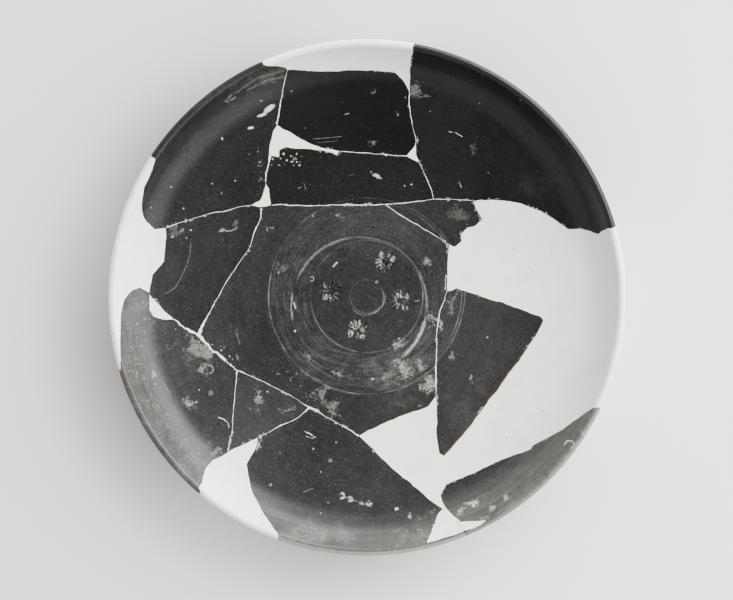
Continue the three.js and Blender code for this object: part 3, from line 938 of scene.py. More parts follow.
class Effects:
    """Node groups that several finishes share."""

    def __init__(self) -> None:
        """Builds every group once."""
        self.stroke = self.make_stroke()
        self.patch = self.make_patch()
        self.arc = self.make_arc()
        self.grit = self.make_grit()
        self.mottle = self.make_mottle()

    @staticmethod
    def make_stroke() -> bpy.types.NodeTree:
        """A thin, broken line between two places."""
        tree = GroupTree(
            "thin stroke",
            {
                "Place": "Vector", "From": "Vector", "To": "Vector",
                "Half Width": "Float", "Strength": "Float",
            },
            {"Mask": "Float"},
        )
        flat = tree.vector("MULTIPLY", tree.given["Place"], (1, 1, 0))
        wobble = tree.add("TexNoise", {"Vector": flat, "Scale": 900.0, "Detail": 2.0}).outputs["Color"]
        centred = {0: tree.vector("SUBTRACT", wobble, (0.5, 0.5, 0.5)), "Scale": 0.0008}
        shaken = tree.add("VectorMath", centred, operation="SCALE").outputs["Vector"]
        spot = tree.vector("ADD", flat, tree.vector("MULTIPLY", shaken, (1, 1, 0)))
        run = tree.vector("SUBTRACT", tree.given["To"], tree.given["From"])
        off = tree.vector("SUBTRACT", spot, tree.given["From"])
        along = tree.measure("DOT_PRODUCT", off, run)
        share = tree.math("DIVIDE", along, tree.measure("DOT_PRODUCT", run, run), clamp=True)
        reached = tree.add("VectorMath", {0: run, "Scale": share}, operation="SCALE").outputs["Vector"]
        away = tree.measure("LENGTH", tree.vector("SUBTRACT", off, reached))
        half = tree.given["Half Width"]
        line = tree.fade(away, half, tree.times(half, 0.35))
        broken = tree.fade(tree.noise(flat, 420.0, 2.0), 0.3, 0.5)
        shape = tree.times(tree.times(line, broken), tree.given["Strength"])
        tree.feed(tree.result["Mask"], shape)
        return tree.tree

    @staticmethod
    def make_patch() -> bpy.types.NodeTree:
        """A ragged patch about a place, longer one way than the other."""
        tree = GroupTree(
            "ragged patch",
            {
                "Place": "Vector", "Middle": "Vector", "Half Size": "Vector", "Turn": "Float",
                "Ragged": "Float", "Fineness": "Float", "Strength": "Float",
            },
            {"Mask": "Float"},
        )
        flat = tree.vector("MULTIPLY", tree.given["Place"], (1, 1, 0))
        off = tree.vector("SUBTRACT", flat, tree.given["Middle"])
        turned = tree.add(
            "VectorRotate", {"Vector": off, "Angle": tree.times(tree.given["Turn"], -1.0)},
            rotation_type="Z_AXIS",
        ).outputs["Vector"]
        away = tree.measure("LENGTH", tree.vector("DIVIDE", turned, tree.given["Half Size"]))
        noise = tree.math("SUBTRACT", tree.noise(flat, tree.given["Fineness"], 4.0, Roughness=0.75), 0.5)
        wide = tree.math("SUBTRACT", tree.noise(flat, 130.0, 3.0), 0.5)
        noise = tree.math("MULTIPLY_ADD", wide, 0.8, noise)
        rough = tree.times(noise, tree.times(tree.given["Ragged"], 5.4))
        shape = tree.fade(tree.math("ADD", away, rough), 1.0, 0.1)
        grain = tree.fade(tree.noise(flat, 1100.0, 4.0, Roughness=0.7), 0.4, 0.62)
        grain = tree.math("MULTIPLY_ADD", grain, 0.75, 0.25)
        shape = tree.times(shape, grain)
        tree.feed(tree.result["Mask"], tree.times(shape, tree.given["Strength"], clamp=True))
        return tree.tree

    @staticmethod
    def make_arc() -> bpy.types.NodeTree:
        """A stretch of a circle, fading out at its ends."""
        tree = GroupTree(
            "circle stretch",
            {
                "Place": "Vector", "Middle": "Vector", "Radius": "Float", "Towards": "Vector",
                "Reach": "Float", "Half Width": "Float", "Strength": "Float",
            },
            {"Mask": "Float"},
        )
        flat = tree.vector("MULTIPLY", tree.given["Place"], (1, 1, 0))
        off = tree.vector("SUBTRACT", flat, tree.given["Middle"])
        away = tree.measure("LENGTH", off)
        rough = tree.times(tree.math("SUBTRACT", tree.noise(flat, 500.0, 3.0), 0.5), 0.0014)
        apart = tree.math("SUBTRACT", away, tree.given["Radius"])
        apart = tree.math("ABSOLUTE", tree.math("ADD", apart, rough))
        facing = tree.measure("DOT_PRODUCT", tree.vector("NORMALIZE", off), tree.given["Towards"])
        angle = tree.math("ARCCOSINE", tree.math("MINIMUM", facing, 0.9999))
        within = tree.fade(angle, tree.given["Reach"], tree.times(tree.given["Reach"], 0.55))
        half = tree.math("ADD", 0.35, tree.times(within, 0.65))
        half = tree.times(tree.given["Half Width"], half)
        line = tree.fade(apart, tree.times(half, 1.3), 0.0)
        grain = tree.math("MULTIPLY_ADD", tree.fade(tree.noise(flat, 800.0, 3.0), 0.3, 0.6), 0.5, 0.5)
        line = tree.times(line, grain)
        shape = tree.times(tree.times(line, within), tree.given["Strength"])
        tree.feed(tree.result["Mask"], shape)
        return tree.tree

    @staticmethod
    def make_grit() -> bpy.types.NodeTree:
        """Scattered specks of unlike size."""
        tree = GroupTree(
            "scattered specks", {"Place": "Vector", "Scale": "Float", "Share": "Float", "Size": "Float"},
            {"Mask": "Float"},
        )
        shaken = tree.add("TexNoise", {"Vector": tree.given["Place"], "Scale": 700.0}).outputs["Color"]
        spot = tree.vector("MULTIPLY_ADD", shaken, (0.001, 0.001, 0.001), tree.given["Place"])
        inputs = {"Vector": spot, "Scale": tree.given["Scale"], "Randomness": 1.0}
        cells = tree.add("TexVoronoi", inputs)
        drawn = tree.add("SeparateColor", {"Color": cells.outputs["Color"]})
        kept = tree.math("LESS_THAN", drawn.outputs["Red"], tree.given["Share"])
        size = tree.times(tree.given["Size"], tree.math("ADD", 0.25, drawn.outputs["Green"]))
        dot = tree.fade(cells.outputs["Distance"], size, tree.times(size, 0.4))
        tree.feed(tree.result["Mask"], tree.times(dot, kept))
        return tree.tree

    @staticmethod
    def make_mottle() -> bpy.types.NodeTree:
        """Unevenness at three scales, and turning streaks round the axis, both about 0."""
        tree = GroupTree("mottling", {"Place": "Vector"}, {"Mottle": "Float", "Streak": "Float"})
        place = tree.given["Place"]
        broad = tree.math("SUBTRACT", tree.noise(place, 22.0, 4.0), 0.5)
        fine = tree.math("SUBTRACT", tree.noise(place, 190.0, 5.0, Roughness=0.7), 0.5)
        grain = tree.math("SUBTRACT", tree.noise(place, 1500.0, 2.0), 0.5)
        grain = tree.math("MULTIPLY_ADD", grain, 0.55, tree.times(fine, 0.6))
        sum_of = tree.math("MULTIPLY_ADD", broad, 0.8, grain)
        tree.feed(tree.result["Mottle"], sum_of)
        flat = tree.vector("MULTIPLY", place, (1, 1, 0))
        away = tree.times(tree.measure("LENGTH", flat), 620.0)
        ring = tree.add("CombineXYZ", {"Z": away}).outputs["Vector"]
        round_about = tree.vector("MULTIPLY_ADD", tree.vector("NORMALIZE", flat), (3.2, 3.2, 0), ring)
        streak = tree.noise(round_about, 1.0, 4.0, Roughness=0.6)
        tree.feed(tree.result["Streak"], tree.math("SUBTRACT", streak, 0.5))
        return tree.tree


@dataclass(frozen=True)
class Stroke:
    """A light scratch or thread of deposit through picture places; its width is in millimetres."""

    places: tuple[Place, ...]
    width: float = 0.6
    strength: float = 0.6


@dataclass(frozen=True)
class Patch:
    """A light patch at a picture place; its half sizes are in millimetres and its turn in degrees."""

    place: Place
    half: tuple[float, float]
    turn: float = 0.0
    strength: float = 0.5
    ragged: float = 0.6
    fineness: float = 350.0


@dataclass(frozen=True)
class Arc:
    """A stretch of a circle; radius and width in millimetres, its middle and reach in degrees."""

    place: Place
    radius: float
    towards: float
    reach: float
    width: float = 0.8
    strength: float = 0.5


@dataclass(frozen=True)
class Marks:
    """Marks that lie together on one piece."""

    strokes: tuple[Stroke, ...] = ()
    patches: tuple[Patch, ...] = ()
    sprays: tuple[Patch, ...] = ()
    arcs: tuple[Arc, ...] = ()


@dataclass
class MarkPainter:
    """Draws marks as masks in one material."""

    tree: ShaderTree
    effects: Effects
    chart: PictureMap
    spray_scale: float = 620.0
    spray_share: float = 0.7
    spray_size: float = 0.44

    def spot(self, place: Place) -> list[float]:
        """A picture place on the dish, in metres."""
        return [*(self.chart.on_dish(place) * MM), 0]

    def stroke(self, stroke: Stroke) -> list[bpy.types.NodeSocket]:
        """The masks of a stroke's straight stretches."""
        masks = []
        for start, end in zip(stroke.places, stroke.places[1:], strict=False):
            masks.append(self.tree.group(self.effects.stroke, {
                "Place": self.tree.place(),
                "From": self.spot(start),
                "To": self.spot(end),
                "Half Width": stroke.width * MM / 2,
                "Strength": stroke.strength,
            }).outputs["Mask"])
        return masks

    def arc(self, arc: Arc) -> bpy.types.NodeSocket:
        """The mask of a stretch of a circle."""
        return self.tree.group(self.effects.arc, {
            "Place": self.tree.place(),
            "Middle": self.spot(arc.place),
            "Radius": arc.radius * MM,
            "Towards": [*on_circle(1, arc.towards), 0],
            "Reach": math.radians(arc.reach),
            "Half Width": arc.width * MM / 2,
            "Strength": arc.strength,
        }).outputs["Mask"]

    def patch(self, patch: Patch) -> bpy.types.NodeSocket:
        """The mask of one patch."""
        return self.tree.group(self.effects.patch, {
            "Place": self.tree.place(),
            "Middle": self.spot(patch.place),
            "Half Size": [patch.half[0] * MM, patch.half[1] * MM, 1],
            "Turn": math.radians(patch.turn),
            "Ragged": patch.ragged,
            "Fineness": patch.fineness,
            "Strength": patch.strength,
        }).outputs["Mask"]

    def spray(self, sprays: tuple[Patch, ...]) -> bpy.types.NodeSocket:
        """The mask of scattered dots inside some patches."""
        dots = {
            "Place": self.tree.place(), "Scale": self.spray_scale,
            "Share": self.spray_share, "Size": self.spray_size,
        }
        scattered = self.tree.group(self.effects.grit, dots).outputs["Mask"]
        return self.tree.times(self.tree.most([self.patch(spray) for spray in sprays]), scattered)

    def mask(self, marks: Marks) -> bpy.types.NodeSocket | float:
        """The mask of all marks together."""
        masks = [mask for stroke in marks.strokes for mask in self.stroke(stroke)]
        masks += [self.arc(arc) for arc in marks.arcs]
        masks += [self.patch(patch) for patch in marks.patches]
        if marks.sprays:
            masks.append(self.spray(marks.sprays))
        return self.tree.most(masks)


@dataclass(frozen=True)
class GlossFinish:
    """The black gloss of one sherd: worn, scratched, with a little white deposit and with painted
    highlights up the wall and along the lip.
    """

    depth: float = 0.008
    wear: float = 0.2
    specks: float = 0.3
    chips: float = 0.05
    rim_wear_and_highlight: float = 0.1
    sheen: float = 0.3
    crest_wear_and_highlight: float = 0.0
    band_wear: float = 0.0
    wall_lightened_from: float = 115.0
    worn_to: float = 133.0
    crest_from: float = 137.2
    crest_to: float = 138.8
    crest_white: float = 0.35
    band_inner: tuple[float, float] = (30.5, 34.0)
    band_outer: tuple[float, float] = (56.5, 51.0)
    band_towards: tuple[float, float, float] = (-0.35, -0.94, 0.0)
    deposit: Marks = Marks()
    clouds_and_highlights: Marks = Marks()

    def material(self, name: str, effects: Effects, chart: PictureMap) -> bpy.types.Material:
        """Builds the sherd's material."""
        made = bpy.data.materials.new(name)
        made.use_nodes = True
        tree = ShaderTree(made.node_tree)
        place = tree.place()
        painter = MarkPainter(tree, effects, chart)
        white = painter.mask(self.deposit)
        # Broad light patches: wear, and on some sherds painted highlights up the wall
        broad = painter.mask(self.clouds_and_highlights)
        mottle = tree.group(effects.mottle, {"Place": place}).outputs
        grit = tree.group(
            effects.grit, {"Place": place, "Scale": 1000.0, "Share": self.specks, "Size": 0.26}
        )
        chips = tree.group(
            effects.grit, {"Place": place, "Scale": 240.0, "Share": self.chips, "Size": 0.17}
        )
        pepper = tree.fade(tree.noise(place, 1300.0, 3.0), 0.52, 0.74)
        thread = tree.math("SUBTRACT", tree.noise(place, 240.0, 5.0, Roughness=0.62), 0.5)
        thread = tree.math("ABSOLUTE", thread)
        thread = tree.times(tree.fade(thread, 0.012, 0.0), tree.fade(tree.noise(place, 60.0), 0.48, 0.66))
        incised = tree.add("Attribute", attribute_name="incised").outputs["Fac"]
        ticked = tree.add("Attribute", attribute_name="ticked").outputs["Fac"]
        stamped = tree.add("Attribute", attribute_name="white").outputs["Fac"]
        # Wear lightens the gloss a little everywhere and more in its cloudy patches. Up the wall and along
        # the lip's crest the lightening is wear together with a painted highlight, and some cloudy patches
        # are painted highlights.
        rubbed = tree.math("MULTIPLY_ADD", mottle["Mottle"], 0.75, 0.3)
        rubbed = tree.math("ADD", rubbed, tree.times(mottle["Streak"], 0.4))
        rubbed = tree.math("MULTIPLY_ADD", pepper, 0.8, rubbed)
        rubbed = tree.math("MULTIPLY_ADD", thread, 0.9, rubbed)
        rubbed = tree.times(rubbed, self.wear, clamp=True)
        clouded = tree.times(broad, tree.fade(mottle["Mottle"], -0.35, 0.3))
        flat = tree.vector("MULTIPLY", place, (1, 1, 0))
        away = tree.measure("LENGTH", flat)
        # Painted highlight together with wear: the gloss is lighter up the wall, by a share set for each
        # sherd
        wall_wear_and_highlight = tree.fade(away, self.wall_lightened_from * MM, self.worn_to * MM)
        streaked = tree.math("MULTIPLY_ADD", mottle["Streak"], 0.9, 0.72)
        streaked = tree.math("MULTIPLY_ADD", mottle["Mottle"], 0.9, streaked, clamp=True)
        wall_wear_and_highlight = tree.times(tree.times(wall_wear_and_highlight, streaked), self.rim_wear_and_highlight)
        worn = tree.math("ADD", tree.math("ADD", rubbed, clouded), wall_wear_and_highlight)
        if self.crest_wear_and_highlight:
            # Painted highlight together with wear: a light, partly whitened line along the lip's crest
            crest = tree.fade(away, self.crest_from * MM, self.crest_to * MM)
            worn = tree.math("MULTIPLY_ADD", crest, self.crest_wear_and_highlight, worn)
            white = tree.math("MAXIMUM", white, tree.times(crest, self.crest_wear_and_highlight * self.crest_white))
        if self.band_wear:
            worn = tree.math("MULTIPLY_ADD", self.band(tree, flat, away, mottle), self.band_wear, worn)
        worn = tree.math("MULTIPLY_ADD", ticked, 0.13, worn, clamp=True)
        fresh = [self.depth, self.depth * 0.98, self.depth * 0.95]
        colour = tree.blend(worn, fresh, (0.24, 0.233, 0.222))
        chalk = tree.times(stamped, tree.fade(tree.noise(place, 900.0, 3.0), 0.36, 0.6))
        chalk = tree.times(chalk, 0.85)
        left_in = tree.math("MULTIPLY_ADD", tree.fade(tree.noise(place, 160.0, 3.0), 0.35, 0.75), 0.4, 0.14)
        chalk = tree.math("MAXIMUM", chalk, tree.times(incised, left_in))
        chalk = tree.math("MAXIMUM", chalk, tree.times(grit.outputs["Mask"], 0.22))
        chalk = tree.math("MAXIMUM", chalk, tree.times(chips.outputs["Mask"], 0.75))
        off_break = tree.add("Attribute", attribute_name="break_off").outputs["Fac"]
        nicks = tree.times(tree.fade(off_break, 2.0, 0.4), tree.noise(place, 520.0, 3.0))
        nicks = tree.times(tree.fade(nicks, 0.54, 0.6), tree.fade(tree.noise(place, 75.0), 0.5, 0.62))
        chalk = tree.math("MAXIMUM", chalk, tree.times(nicks, 0.7))
        chalk = tree.math("MAXIMUM", chalk, white, clamp=True)
        colour = tree.blend(chalk, colour, (0.62, 0.6, 0.565))
        rough = tree.math("MULTIPLY_ADD", mottle["Mottle"], 0.16, self.sheen)
        rough = tree.math("MULTIPLY_ADD", worn, 0.25, rough)
        rough = tree.math("MULTIPLY_ADD", chalk, 0.45, rough, clamp=True)
        raised = tree.math("MULTIPLY_ADD", chalk, 0.35, tree.times(mottle["Mottle"], 0.3))
        bump = tree.add("Bump", {"Height": raised, "Strength": 0.35, "Distance": 0.0003})
        shader = tree.add("BsdfPrincipled", {
            "Base Color": colour, "Roughness": rough, "IOR": 1.6, "Normal": bump.outputs["Normal"],
        })
        out = tree.add("OutputMaterial")
        tree.tree.links.new(shader.outputs["BSDF"], out.inputs["Surface"])
        return made

    def band(
        self, tree: ShaderTree, flat: bpy.types.NodeSocket, away: bpy.types.NodeSocket, mottle: object
    ) -> bpy.types.NodeSocket:
        """Turning streaks of wear in the rouletted band, clearer on one side."""
        inner, outer = ([edge * MM for edge in edges] for edges in (self.band_inner, self.band_outer))
        within = tree.times(tree.fade(away, *inner), tree.fade(away, *outer))
        towards = tree.measure("DOT_PRODUCT", tree.vector("NORMALIZE", flat), self.band_towards)
        clear = tree.math("MULTIPLY_ADD", tree.fade(towards, -0.6, 0.7), 0.75, 0.25)
        streaks = tree.math("MULTIPLY_ADD", mottle["Mottle"], 0.35, mottle["Streak"])
        return tree.times(tree.times(within, clear), tree.fade(streaks, -0.12, 0.22))


@dataclass(frozen=True)
class ClayFinish:
    """The fired clay that shows on the break faces."""

    light: tuple[float, float, float] = (0.42, 0.27, 0.17)
    dark: tuple[float, float, float] = (0.25, 0.16, 0.11)

    def material(self, effects: Effects) -> bpy.types.Material:
        """Builds the material."""
        made = bpy.data.materials.new("broken_clay")
        made.use_nodes = True
        tree = ShaderTree(made.node_tree)
        place = tree.place()
        mottle = tree.group(effects.mottle, {"Place": place}).outputs["Mottle"]
        grains = tree.group(effects.grit, {"Place": place, "Scale": 900.0, "Share": 0.3, "Size": 0.3})
        grit = grains.outputs["Mask"]
        colour = tree.blend(tree.fade(mottle, -0.35, 0.35), self.dark, self.light)
        colour = tree.blend(tree.times(grit, 0.5), colour, (0.6, 0.5, 0.4))
        bump = tree.add("Bump", {"Height": mottle, "Strength": 0.6, "Distance": 0.0006})
        shader = tree.add("BsdfPrincipled", {
            "Base Color": colour,
            "Roughness": tree.math("MULTIPLY_ADD", mottle, 0.1, 0.86),
            "Normal": bump.outputs["Normal"],
        })
        out = tree.add("OutputMaterial")
        tree.tree.links.new(shader.outputs["BSDF"], out.inputs["Surface"])
        return made


@dataclass(frozen=True)
class PlasterFinish:
    """Smoothed white plaster with faint trowel marks and a few dark specks."""

    name: str
    light: tuple[float, float, float] = (0.87, 0.86, 0.83)
    dark: tuple[float, float, float] = (0.77, 0.755, 0.72)
    soiling: float = 0.1
    specks: float = 0.05
    dirt: Marks = Marks()

    def material(self, effects: Effects, chart: PictureMap) -> bpy.types.Material:
        """Builds the material."""
        made = bpy.data.materials.new(self.name)
        made.use_nodes = True
        tree = ShaderTree(made.node_tree)
        place = tree.place()
        mottle = tree.group(effects.mottle, {"Place": place}).outputs
        specks = tree.group(effects.grit, {
            "Place": place, "Scale": 260.0, "Share": self.specks, "Size": 0.22,
        }).outputs["Mask"]
        colour = tree.blend(tree.fade(mottle["Mottle"], -0.5, 0.3), self.dark, self.light)
        soiled = tree.times(tree.fade(tree.noise(place, 60.0, 5.0), 0.5, 0.8), self.soiling)
        soiled = tree.math("MAXIMUM", soiled, tree.times(specks, 0.4))
        dirt = MarkPainter(tree, effects, chart).mask(self.dirt)
        soiled = tree.math("MAXIMUM", soiled, dirt, clamp=True)
        colour = tree.blend(soiled, colour, (0.12, 0.113, 0.1))
        height = tree.math("MULTIPLY_ADD", mottle["Streak"], 0.5, mottle["Mottle"])
        bump = tree.add("Bump", {"Height": height, "Strength": 0.25, "Distance": 0.0004})
        shader = tree.add("BsdfPrincipled", {
            "Base Color": colour,
            "Roughness": tree.math("MULTIPLY_ADD", mottle["Mottle"], 0.1, 0.82),
            "Normal": bump.outputs["Normal"],
        })
        out = tree.add("OutputMaterial")
        tree.tree.links.new(shader.outputs["BSDF"], out.inputs["Surface"])
        return made


SHERD_FINISHES: dict[str, GlossFinish] = {
    "sherd_upper_left": GlossFinish(
        depth=0.007, rim_wear_and_highlight=0.1, chips=0.05,
        deposit=Marks(
            patches=(
                Patch((269.5, 110.5), (4.4, 1.7), 38, 6.0, 0.14, 300),
                Patch((262, 116.8), (3.6, 1.0), 18, 6.0, 0.14),
                Patch((251, 129.5), (1.9, 0.9), 10, 5.0, 0.18),
                Patch((222.6, 140), (0.7, 1.2), 20, 5.0, 0.18),
                Patch((261.3, 102.6), (1.3, 0.7), 0, 1.2, 0.5),
                Patch((258, 152.6), (0.9, 0.9), 0, 1.2, 0.5),
                Patch((235.5, 181.6), (0.6, 0.8), 0, 1.2, 0.4),
                Patch((212.4, 184.7), (0.8, 0.7), 0, 1.0, 0.4),
                Patch((171.3, 188), (0.7, 0.7), 0, 0.9, 0.4), Patch((249, 155.8), (0.6, 0.6), 0, 0.8, 0.4),
            ),
            sprays=(
                Patch((256, 152), (4.0, 2.0), 20, 1.2, 0.8, 400),
                Patch((262, 182), (3.0, 12.0), 8, 0.7, 1.0, 300),
            ),
            strokes=(
                Stroke(((236, 95), (258, 80), (284, 73)), 1.4, 0.16),
                Stroke(((248, 92), (268, 82), (286, 79)), 1.0, 0.22),
                Stroke(((226, 103), (232, 97)), 1.6, 0.22), Stroke(((228, 104), (236, 99)), 0.8, 0.4),
            ),
        ),
        clouds_and_highlights=Marks(
            patches=(
                Patch((268, 78), (13, 4.2), 24, 0.5, 1.2, 420),
                Patch((240, 92), (12, 3.0), 38, 0.2, 1.2, 300),
            ),
            # The circle stretch along the wall is a painted reflection band
            arcs=(Arc((367, 298.8), 124.5, 146.0, 40.0, 12.0, 0.09),),
        ),
    ),
    "sherd_upper_middle": GlossFinish(
        depth=0.006, wear=0.06, specks=0.1, chips=0.04,
        deposit=Marks(
            strokes=(
                Stroke(((313, 140.5), (341, 138)), 0.5, 0.35), Stroke(((318, 144), (338, 142)), 0.4, 0.25),
                Stroke(((345, 116), (349, 115)), 0.8, 0.5),
            ),
            patches=(
                Patch((374, 94), (1.4, 1.4), 0, 0.7, 1.0, 700),
                Patch((371, 145), (2.0, 1.4), 0, 0.6, 1.2, 700),
                Patch((397, 114), (0.8, 1.6), 20, 0.7, 0.9, 700), Patch((292, 93), (0.8, 0.6), 0, 0.7, 0.8),
                Patch((343, 104), (1.0, 0.7), 0, 0.35, 0.8),
                Patch((405, 99), (0.8, 2.0), 10, 0.8, 0.9, 700),
            ),
        ),
    ),
    "sherd_middle": GlossFinish(
        depth=0.007, wear=0.12,
        deposit=Marks(
            patches=(
                Patch((377.5, 177.5), (3.2, 1.5), -30, 2.0, 0.4, 700),
                Patch((371, 173), (0.8, 0.8), 0, 0.8), Patch((281, 160), (1.0, 0.9), 0, 3.0, 0.5, 900),
                Patch((287, 161.5), (0.9, 0.8), 0, 3.0, 0.5, 900),
                Patch((291.5, 157), (0.8, 0.8), 0, 3.0, 0.5, 900),
                Patch((284, 155), (0.8, 0.7), 0, 3.0, 0.5, 900),
                Patch((297, 154.5), (0.5, 0.8), 0, 2.0, 0.5, 900),
                Patch((292, 163), (1.1, 0.7), 0, 3.0, 0.5, 900), Patch((459, 183), (0.9, 0.9), 0, 0.7, 0.8),
            ),
            sprays=(
                Patch((285, 158), (11.0, 6.0), 12, 4.0, 0.2, 300),
                Patch((294, 163), (5.0, 3.0), -20, 3.0, 0.4, 300),
            ),
            strokes=(
                Stroke(((298, 189), (301, 188)), 0.6, 0.5), Stroke(((304, 184), (306, 190)), 0.5, 0.4),
                Stroke(((349, 176), (357, 174.5)), 0.5, 0.2),
            ),
        ),
    ),
    "sherd_upper_right": GlossFinish(
        depth=0.011, wear=0.12, specks=0.12, rim_wear_and_highlight=0.05,
        deposit=Marks(
            strokes=(
                Stroke(((448, 133), (455, 134), (462, 138)), 0.8, 0.8),
                Stroke(((415, 93), (431, 99)), 0.5, 0.25), Stroke(((418, 100), (428, 97)), 0.5, 0.25),
                Stroke(((459, 183), (461, 188)), 1.0, 0.5),
            ),
            patches=(
                Patch((415, 92), (2.6, 2.2), 0, 0.45, 1.6, 700),
                Patch((474, 153), (1.6, 3.2), 0, 0.3, 1.4, 500),
                Patch((426, 97), (1.4, 1.2), 0, 0.3, 1.4, 700), Patch((479, 105), (0.6, 0.6), 0, 1.2, 0.4),
                Patch((430, 113), (0.6, 0.5), 0, 1.0, 0.4), Patch((602, 190), (0.8, 0.8), 0, 1.2, 0.4),
                Patch((522, 106), (0.5, 0.5), 0, 0.9, 0.4), Patch((553, 116), (0.5, 0.5), 0, 0.9, 0.4),
            ),
        ),
        clouds_and_highlights=Marks(patches=(Patch((532, 187), (17, 8), -14, 0.16, 0.7, 120),)),
    ),
    "sherd_scalloped": GlossFinish(
        depth=0.016, wear=0.24, band_wear=0.1,
        deposit=Marks(patches=(Patch((458, 215), (6, 4), 0, 0.2, 1.0, 300),)),
    ),
    "sherd_left": GlossFinish(
        depth=0.009, wear=0.24,
        deposit=Marks(
            strokes=(
                Stroke(((191, 244), (190, 255), (187, 265), (180, 280), (175, 288), (163, 295)), 0.4, 0.35),
            ),
            arcs=(Arc((229, 218), 7.4, -88.0, 46.0, 1.1, 0.5), Arc((266, 222), 3.4, -80.0, 60.0, 0.6, 0.4)),
            patches=(
                Patch((236, 225), (1.4, 2.2), -30, 0.3, 1.0, 500),
                Patch((222, 231), (2.2, 0.9), 20, 0.7, 0.9, 500),
                Patch((173, 237), (1.0, 0.8), 0, 0.8, 0.8), Patch((181, 231), (1.8, 1.6), 0, 0.4, 1.0),
                Patch((187, 238.5), (1.0, 0.8), -30, 0.7, 0.8),
                Patch((172, 229), (4.0, 3.0), 0, 0.22, 1.2, 300),
            ),
        ),
    ),
    "sherd_centre": GlossFinish(
        depth=0.021, wear=0.3, band_wear=0.22,
        deposit=Marks(
            arcs=(
                Arc((359, 305), 37.2, -30.0, 24.0, 2.3, 0.75), Arc((359, 305), 37.2, -38.0, 16.0, 2.6, 0.5),
                Arc((360, 305), 37.2, 128.0, 36.0, 1.8, 0.34), Arc((360, 305), 37.2, 55.0, 60.0, 1.2, 0.17),
                Arc((359, 306), 37.2, 181.0, 14.0, 1.2, 0.5), Arc((359, 305), 37.2, 12.0, 22.0, 1.7, 0.34),
                Arc((367, 296), 9.9, -40.0, 60.0, 0.9, 0.5), Arc((311.7, 279), 1.1, 0.0, 180.0, 0.9, 0.6),
                Arc((270, 223), 3.2, -90.0, 60.0, 0.6, 0.5),
            ),
            strokes=(
                Stroke(((333.5, 266.5), (337, 262.7)), 1.5, 0.8),
                Stroke(((328, 207), (329.5, 202)), 0.6, 0.6), Stroke(((294, 303), (295.5, 308)), 1.3, 0.8),
                Stroke(((415, 301), (419, 300.5)), 0.6, 0.6),
                Stroke(((237, 333), (238, 339), (240, 344)), 0.8, 0.3),
            ),
            patches=(
                Patch((278.6, 272.6), (0.8, 0.8), 0, 1.6, 0.3), Patch((295, 331), (1.0, 0.9), 0, 1.2, 0.5),
                Patch((372.9, 378.5), (1.1, 0.8), 0, 1.8, 0.4),
                Patch((427.6, 261), (2.4, 2.0), 30, 0.6, 1.0, 600),
                Patch((403, 370.6), (5.6, 4.6), 0, 0.6, 1.3, 500),
                Patch((423, 367.7), (3.4, 2.2), 0, 0.6, 1.0, 400),
                Patch((427.6, 383.5), (6.2, 3.6), 20, 0.7, 1.3, 500),
                Patch((399, 345), (3.8, 3.8), 0, 0.75, 1.0, 500),
                Patch((338, 216), (3.4, 1.2), -20, 0.5, 0.9),
                Patch((323, 398), (9.0, 3.4), -42, 0.42, 1.5, 500),
                Patch((310, 357), (3.0, 2.0), -30, 0.45, 1.0, 400),
                Patch((336, 373), (2.8, 1.2), -20, 0.6, 1.0, 400),
                Patch((432, 318), (3.0, 3.2), 60, 0.7, 1.0, 500),
                Patch((282, 268), (3.0, 2.4), 0, 0.25, 1.0, 300),
                Patch((377, 281.5), (1.8, 1.0), 0, 0.7, 0.8, 500),
                Patch((385, 374), (4.0, 2.4), 0, 0.4, 1.0, 300),
                Patch((236, 333), (1.2, 2.6), 10, 0.4, 0.8, 400),
                Patch((318, 379), (2.4, 1.2), -30, 0.4, 1.0, 500),
            ),
            sprays=(
                Patch((434, 325), (3.4, 7.0), 0, 1.6, 0.9, 300),
                Patch((297, 385), (12, 3.2), -38, 0.9, 0.9, 200),
                Patch((225, 352), (12, 3.2), -40, 1.2, 0.8, 200),
                Patch((405, 372), (9.0, 6.0), 10, 0.8, 1.0, 200),
            ),
        ),
        clouds_and_highlights=Marks(
            patches=(
                Patch((372, 372), (36, 8), 0, 0.3, 0.5, 120),
                Patch((412, 386), (18, 9), 25, 0.26, 0.8, 160),
                Patch((290, 300), (8, 18), 0, 0.14, 0.7, 120),
                Patch((420, 300), (7, 22), 8, 0.12, 0.7, 120),
            ),
        ),
    ),
    "sherd_lower_left": GlossFinish(
        depth=0.015, wear=0.32, specks=0.3, rim_wear_and_highlight=0.44, wall_lightened_from=108.0, worn_to=138.0,
        clouds_and_highlights=Marks(
            # The first three patches, up the wall, are painted highlight together with wear
            patches=(
                Patch((136, 345), (17, 38), 6, 0.3, 0.5, 70),
                Patch((155, 420), (16, 34), 28, 0.34, 0.5, 70),
                Patch((190, 468), (15, 20), 35, 0.6, 0.5, 90),
                Patch((198, 355), (14, 13), 0, 0.3, 0.8, 160),
            ),
        ),
        deposit=Marks(
            patches=(
                Patch((197, 350), (7.0, 5.0), -40, 0.42, 1.4, 300),
                Patch((189, 404), (2.4, 3.6), 20, 0.8, 0.9, 400),
                Patch((201, 369), (1.8, 1.2), 0, 0.6, 1.2, 600), Patch((154, 374), (1.6, 2.4), 20, 0.5),
                Patch((211, 393), (1.4, 1.8), 0, 0.4), Patch((215, 452), (3.0, 2.4), 30, 0.5, 1.0, 400),
                Patch((207, 352), (3.0, 4.0), 30, 0.5, 1.0, 400),
                Patch((196, 402), (1.0, 0.8), 0, 1.0, 0.5),
            ),
            sprays=(
                Patch((142, 345), (13, 34), 6, 0.5, 0.6, 100),
                Patch((182, 333), (8.0, 5.0), -40, 0.8, 0.8, 200),
                Patch((162, 420), (10, 32), 28, 0.4, 0.6, 100),
            ),
